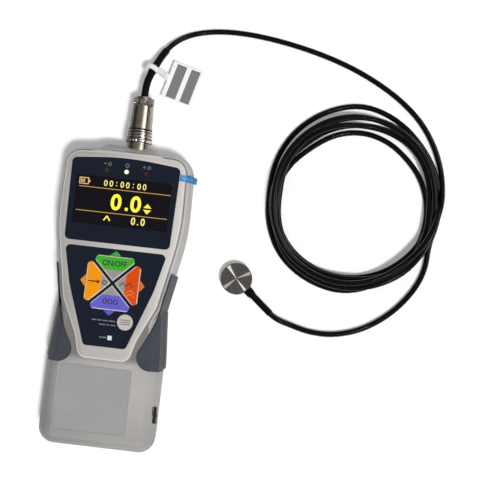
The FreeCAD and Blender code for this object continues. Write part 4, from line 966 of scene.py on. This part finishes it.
def tied_tag(paint):
    """The flag label: a card band looped round the sleeve, a neck and the flat flag"""
    start, end = Vector(LEAD_ROUTE[2]), Vector(LEAD_ROUTE[3])
    axis = (end - start).normalized()
    left = Vector((-axis.y, axis.x, 0)).normalized()
    up = left.cross(axis)
    if up.z < 0:
        up = -up
    middle = (start + end) / 2 - axis * 1.3 + left * TAG_LOOP_SHIFT
    half_band = axis * TAG_BAND / 2
    form = bmesh.new()
    count = 40
    rings = []
    for k in range(count):
        angle = 2 * math.pi * k / count
        inner, outer = (
            left * (TAG_LOOP[0] + thick) * math.cos(angle) + up * (TAG_LOOP[1] + thick) * math.sin(angle)
            for thick in (0.0, TAG_THICK)
        )
        corners = (inner - half_band, outer - half_band, outer + half_band, inner + half_band)
        rings.append([form.verts.new((middle + corner) * MM) for corner in corners])
    join_rings(form, rings + rings[:1])
    # The neck dips from the loop's right side to the flag's near edge, and widens there
    place = tag_place()
    root = middle - left * (TAG_LOOP[0] - 0.7) + up * 1.7
    edge = place @ Vector((-TAG_WIDTH / 2 + 0.6, (place.inverted() @ root).y, 0))
    across = place.to_3x3() @ Vector((0, 1, 0))
    steps = 8
    strips = []
    for k in range(steps + 1):
        t = k / steps
        ease = t * t * (3 - 2 * t)
        spot = root.lerp(edge, t)
        spot.z = root.z + (edge.z - root.z) * ease
        side = axis.lerp(across, ease).normalized() * (TAG_BAND / 2 + 0.5 * ease * ease)
        lift = (edge - root).normalized().cross(side).normalized() * (TAG_THICK / 2)
        corners = (-side - lift, side - lift, side + lift, lift - side)
        strips.append([form.verts.new((spot + corner) * MM) for corner in corners])
    join_rings(form, strips)
    form.faces.new(strips[0])
    form.faces.new(reversed(strips[-1]))
    flag = bmesh.ops.create_cube(form, size=1.0)
    size = Matrix.Diagonal((TAG_WIDTH, TAG_LENGTH, TAG_THICK, 1))
    bmesh.ops.transform(form, matrix=TO_METRES @ place @ size, verts=flag["verts"])
    piece = add_mesh("tied_tag", mesh_from("tied_tag", form), paint, "cable_tag")
    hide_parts("cable_tag")
    return piece


def tag_bars():
    """Two plain bars, made level and then laid on the flag"""
    grey = ink("tag_grey", srgb(116, 116, 118))
    bars = [bar(-6.5, -10.2, -0.7, 9.9), bar(2.1, -10.2, 7.6, 9.9)]
    piece = thin_print("tag_bars", bars, TAG_THICK / 2, grey, "cable_tag")
    piece.data.transform(TO_METRES @ tag_place() @ TO_METRES.inverted())


def dress_nodes():
    dress(["front_cover", "rear_cover"], housing_finish())
    side_grips(grip_finish())
    dress(["display_overlay", "keypad_overlay"], overlay_finish())
    dress(["display_lens"], lens_finish())
    dress(["oled_module"], moulded("module_black", (0.02, 0.02, 0.022), 0.3))
    dress(["left_lamp"], glowing("lamp_olive", srgb(70, 66, 30), 0.3))
    dress(["middle_lamp"], glowing("lamp_green", srgb(225, 255, 215), 1.0))
    dress(["right_lamp"], glowing("lamp_red", srgb(90, 30, 26), 0.3))
    dress(["label_plate"], plate_finish())
    dress(["film_tab"], film_finish())
    dress(["main_board"], board_finish())
    # Painted shade: the socket and a sheet over its slot are black
    black = moulded("port_black", (0.006, 0.006, 0.007), 0.35)
    dress(["usb_port"], black)
    port_slot_shade(black)
    dress(["key_switches", "board_screws", "housing_screws"],
          plated("steel_bright", (0.5, 0.5, 0.51), roughness=0.32))
    dress(["battery_pack"], moulded("cell_wrap", (0.05, 0.05, 0.06), 0.3))
    dress(["mounting_inserts"], plated("insert_brass", (0.72, 0.5, 0.2), roughness=0.3))
    clamp = plated("nickel_cast", srgb(196, 188, 176), "y", 0.2, (SOCKET_X, 0.0, SOCKET_Z), dents=0.9)
    dress(["cable_clamp"], clamp)
    dress(["clamp_screws"], plated("nickel_small", srgb(206, 202, 194), roughness=0.22))
    dress(["receptacle_pins", "plug_insert"], moulded("insulator_black", (0.02, 0.02, 0.02), 0.5))
    cell = turned_finish("cell_steel", srgb(112, 108, 102), CELL_CENTRE)
    dress(["load_cell", "cell_cover", "load_button"], cell)
    dress(["power_key"], key_finish("power_cap", (66, 168, 48), (0, 1)))
    dress(["send_key"], key_finish("send_cap", (240, 150, 4), (-1, 0), split=6.2))
    dress(["peak_key"], key_finish("peak_cap", (214, 74, 6), (1, 0)))
    dress(["zero_key"], key_finish("zero_cap", (100, 94, 200), (0, -1), split=6.6))
    dress(["menu_key"], round_key_finish())


# Table and surroundings


def lay_table():
    """A pale table that glows a little to the camera and in reflections"""
    form = bmesh.new()
    for x, y in ((-3, -3), (3, -3), (3, 3), (-3, 3)):
        form.verts.new((x, y, -0.0001))
    form.faces.new(form.verts)
    mesh = bpy.data.meshes.new("table")
    form.to_mesh(mesh)
    form.free()
    table = bpy.data.objects.new("table", mesh)
    bpy.context.scene.collection.objects.link(table)
    paint = Paint("table_white", (TABLE_TONE,) * 3, 0.9, Specular_IOR_Level=0.1, Emission_Strength=1.0)
    camera = paint.add("LightPath", {})
    glossy = paint.add("LightPath", {}, out=3)
    paint.set(Emission_Color=(camera + glossy) * TABLE_GLOW)
    mesh.materials.append(paint.material)


def mirror_level(tree, target):
    """What glossy faces mirror: a dim room overhead, a dark skyline, a bright strip low
    at the right, and one soft window"""

    def maths(operation, a, b=0.0, c=0.0):
        node = tree.nodes.new("ShaderNodeMath")
        node.operation = operation
        for place, value in enumerate((a, b, c)):
            if isinstance(value, float):
                node.inputs[place].default_value = value
            else:
                tree.links.new(value, node.inputs[place])
        return node.outputs[0]

    def ease(value, start, end):
        node = tree.nodes.new("ShaderNodeMapRange")
        node.interpolation_type = "SMOOTHSTEP"
        tree.links.new(value, node.inputs[0])
        node.inputs[1].default_value = start
        node.inputs[2].default_value = end
        return node.outputs[0]

    coords = tree.nodes.new("ShaderNodeTexCoord")
    split = tree.nodes.new("ShaderNodeSeparateXYZ")
    tree.links.new(coords.outputs["Generated"], split.inputs[0])
    x, y, z = split.outputs
    overhead = maths("MULTIPLY", ease(z, 0.25, 0.9), 0.27)
    strip = maths("MULTIPLY", ease(z, 0.12, 0.2), ease(z, 0.62, 0.4))
    strip = maths("MULTIPLY", strip, maths("MULTIPLY_ADD", ease(x, -0.5, 0.5), 0.5, 0.1))
    toward = maths("MULTIPLY", x, 0.583)
    toward = maths("MULTIPLY_ADD", y, 0.272, toward)
    toward = maths("MULTIPLY_ADD", z, 0.766, toward)
    window = maths("MULTIPLY", ease(toward, 0.962, 0.985), 5.0)
    level = maths("ADD", maths("ADD", overhead, strip), window)
    tree.links.new(level, target)


def surroundings():
    """White to the camera, an even level on the object, and bands for the metal to mirror"""
    world = bpy.data.worlds.new("studio")
    bpy.context.scene.world = world
    world.use_nodes = True
    tree = world.node_tree
    tree.nodes.clear()

    def background(color, strength):
        node = tree.nodes.new("ShaderNodeBackground")
        node.inputs[0].default_value = (*color, 1.0)
        node.inputs[1].default_value = strength
        return node

    path = tree.nodes.new("ShaderNodeLightPath")
    even = background((1.0, 1.0, 1.0), 0.26)
    seen = background((1.0, 1.0, 1.0), 1.0)
    mirror = background((1.0, 1.0, 1.0), 1.0)
    mirror_level(tree, mirror.inputs[0])
    first = tree.nodes.new("ShaderNodeMixShader")
    second = tree.nodes.new("ShaderNodeMixShader")
    out = tree.nodes.new("ShaderNodeOutputWorld")
    tree.links.new(path.outputs["Is Glossy Ray"], first.inputs[0])
    tree.links.new(even.outputs[0], first.inputs[1])
    tree.links.new(mirror.outputs[0], first.inputs[2])
    tree.links.new(path.outputs["Is Camera Ray"], second.inputs[0])
    tree.links.new(first.outputs[0], second.inputs[1])
    tree.links.new(seen.outputs[0], second.inputs[2])
    tree.links.new(second.outputs[0], out.inputs[0])


place_camera()
lay_lead()
place_lights()
surroundings()
lay_table()
dress_nodes()
screen_contents()
overlay_prints()
key_prints()
tag_bars()

bpy.context.scene.view_settings.view_transform = "Standard"
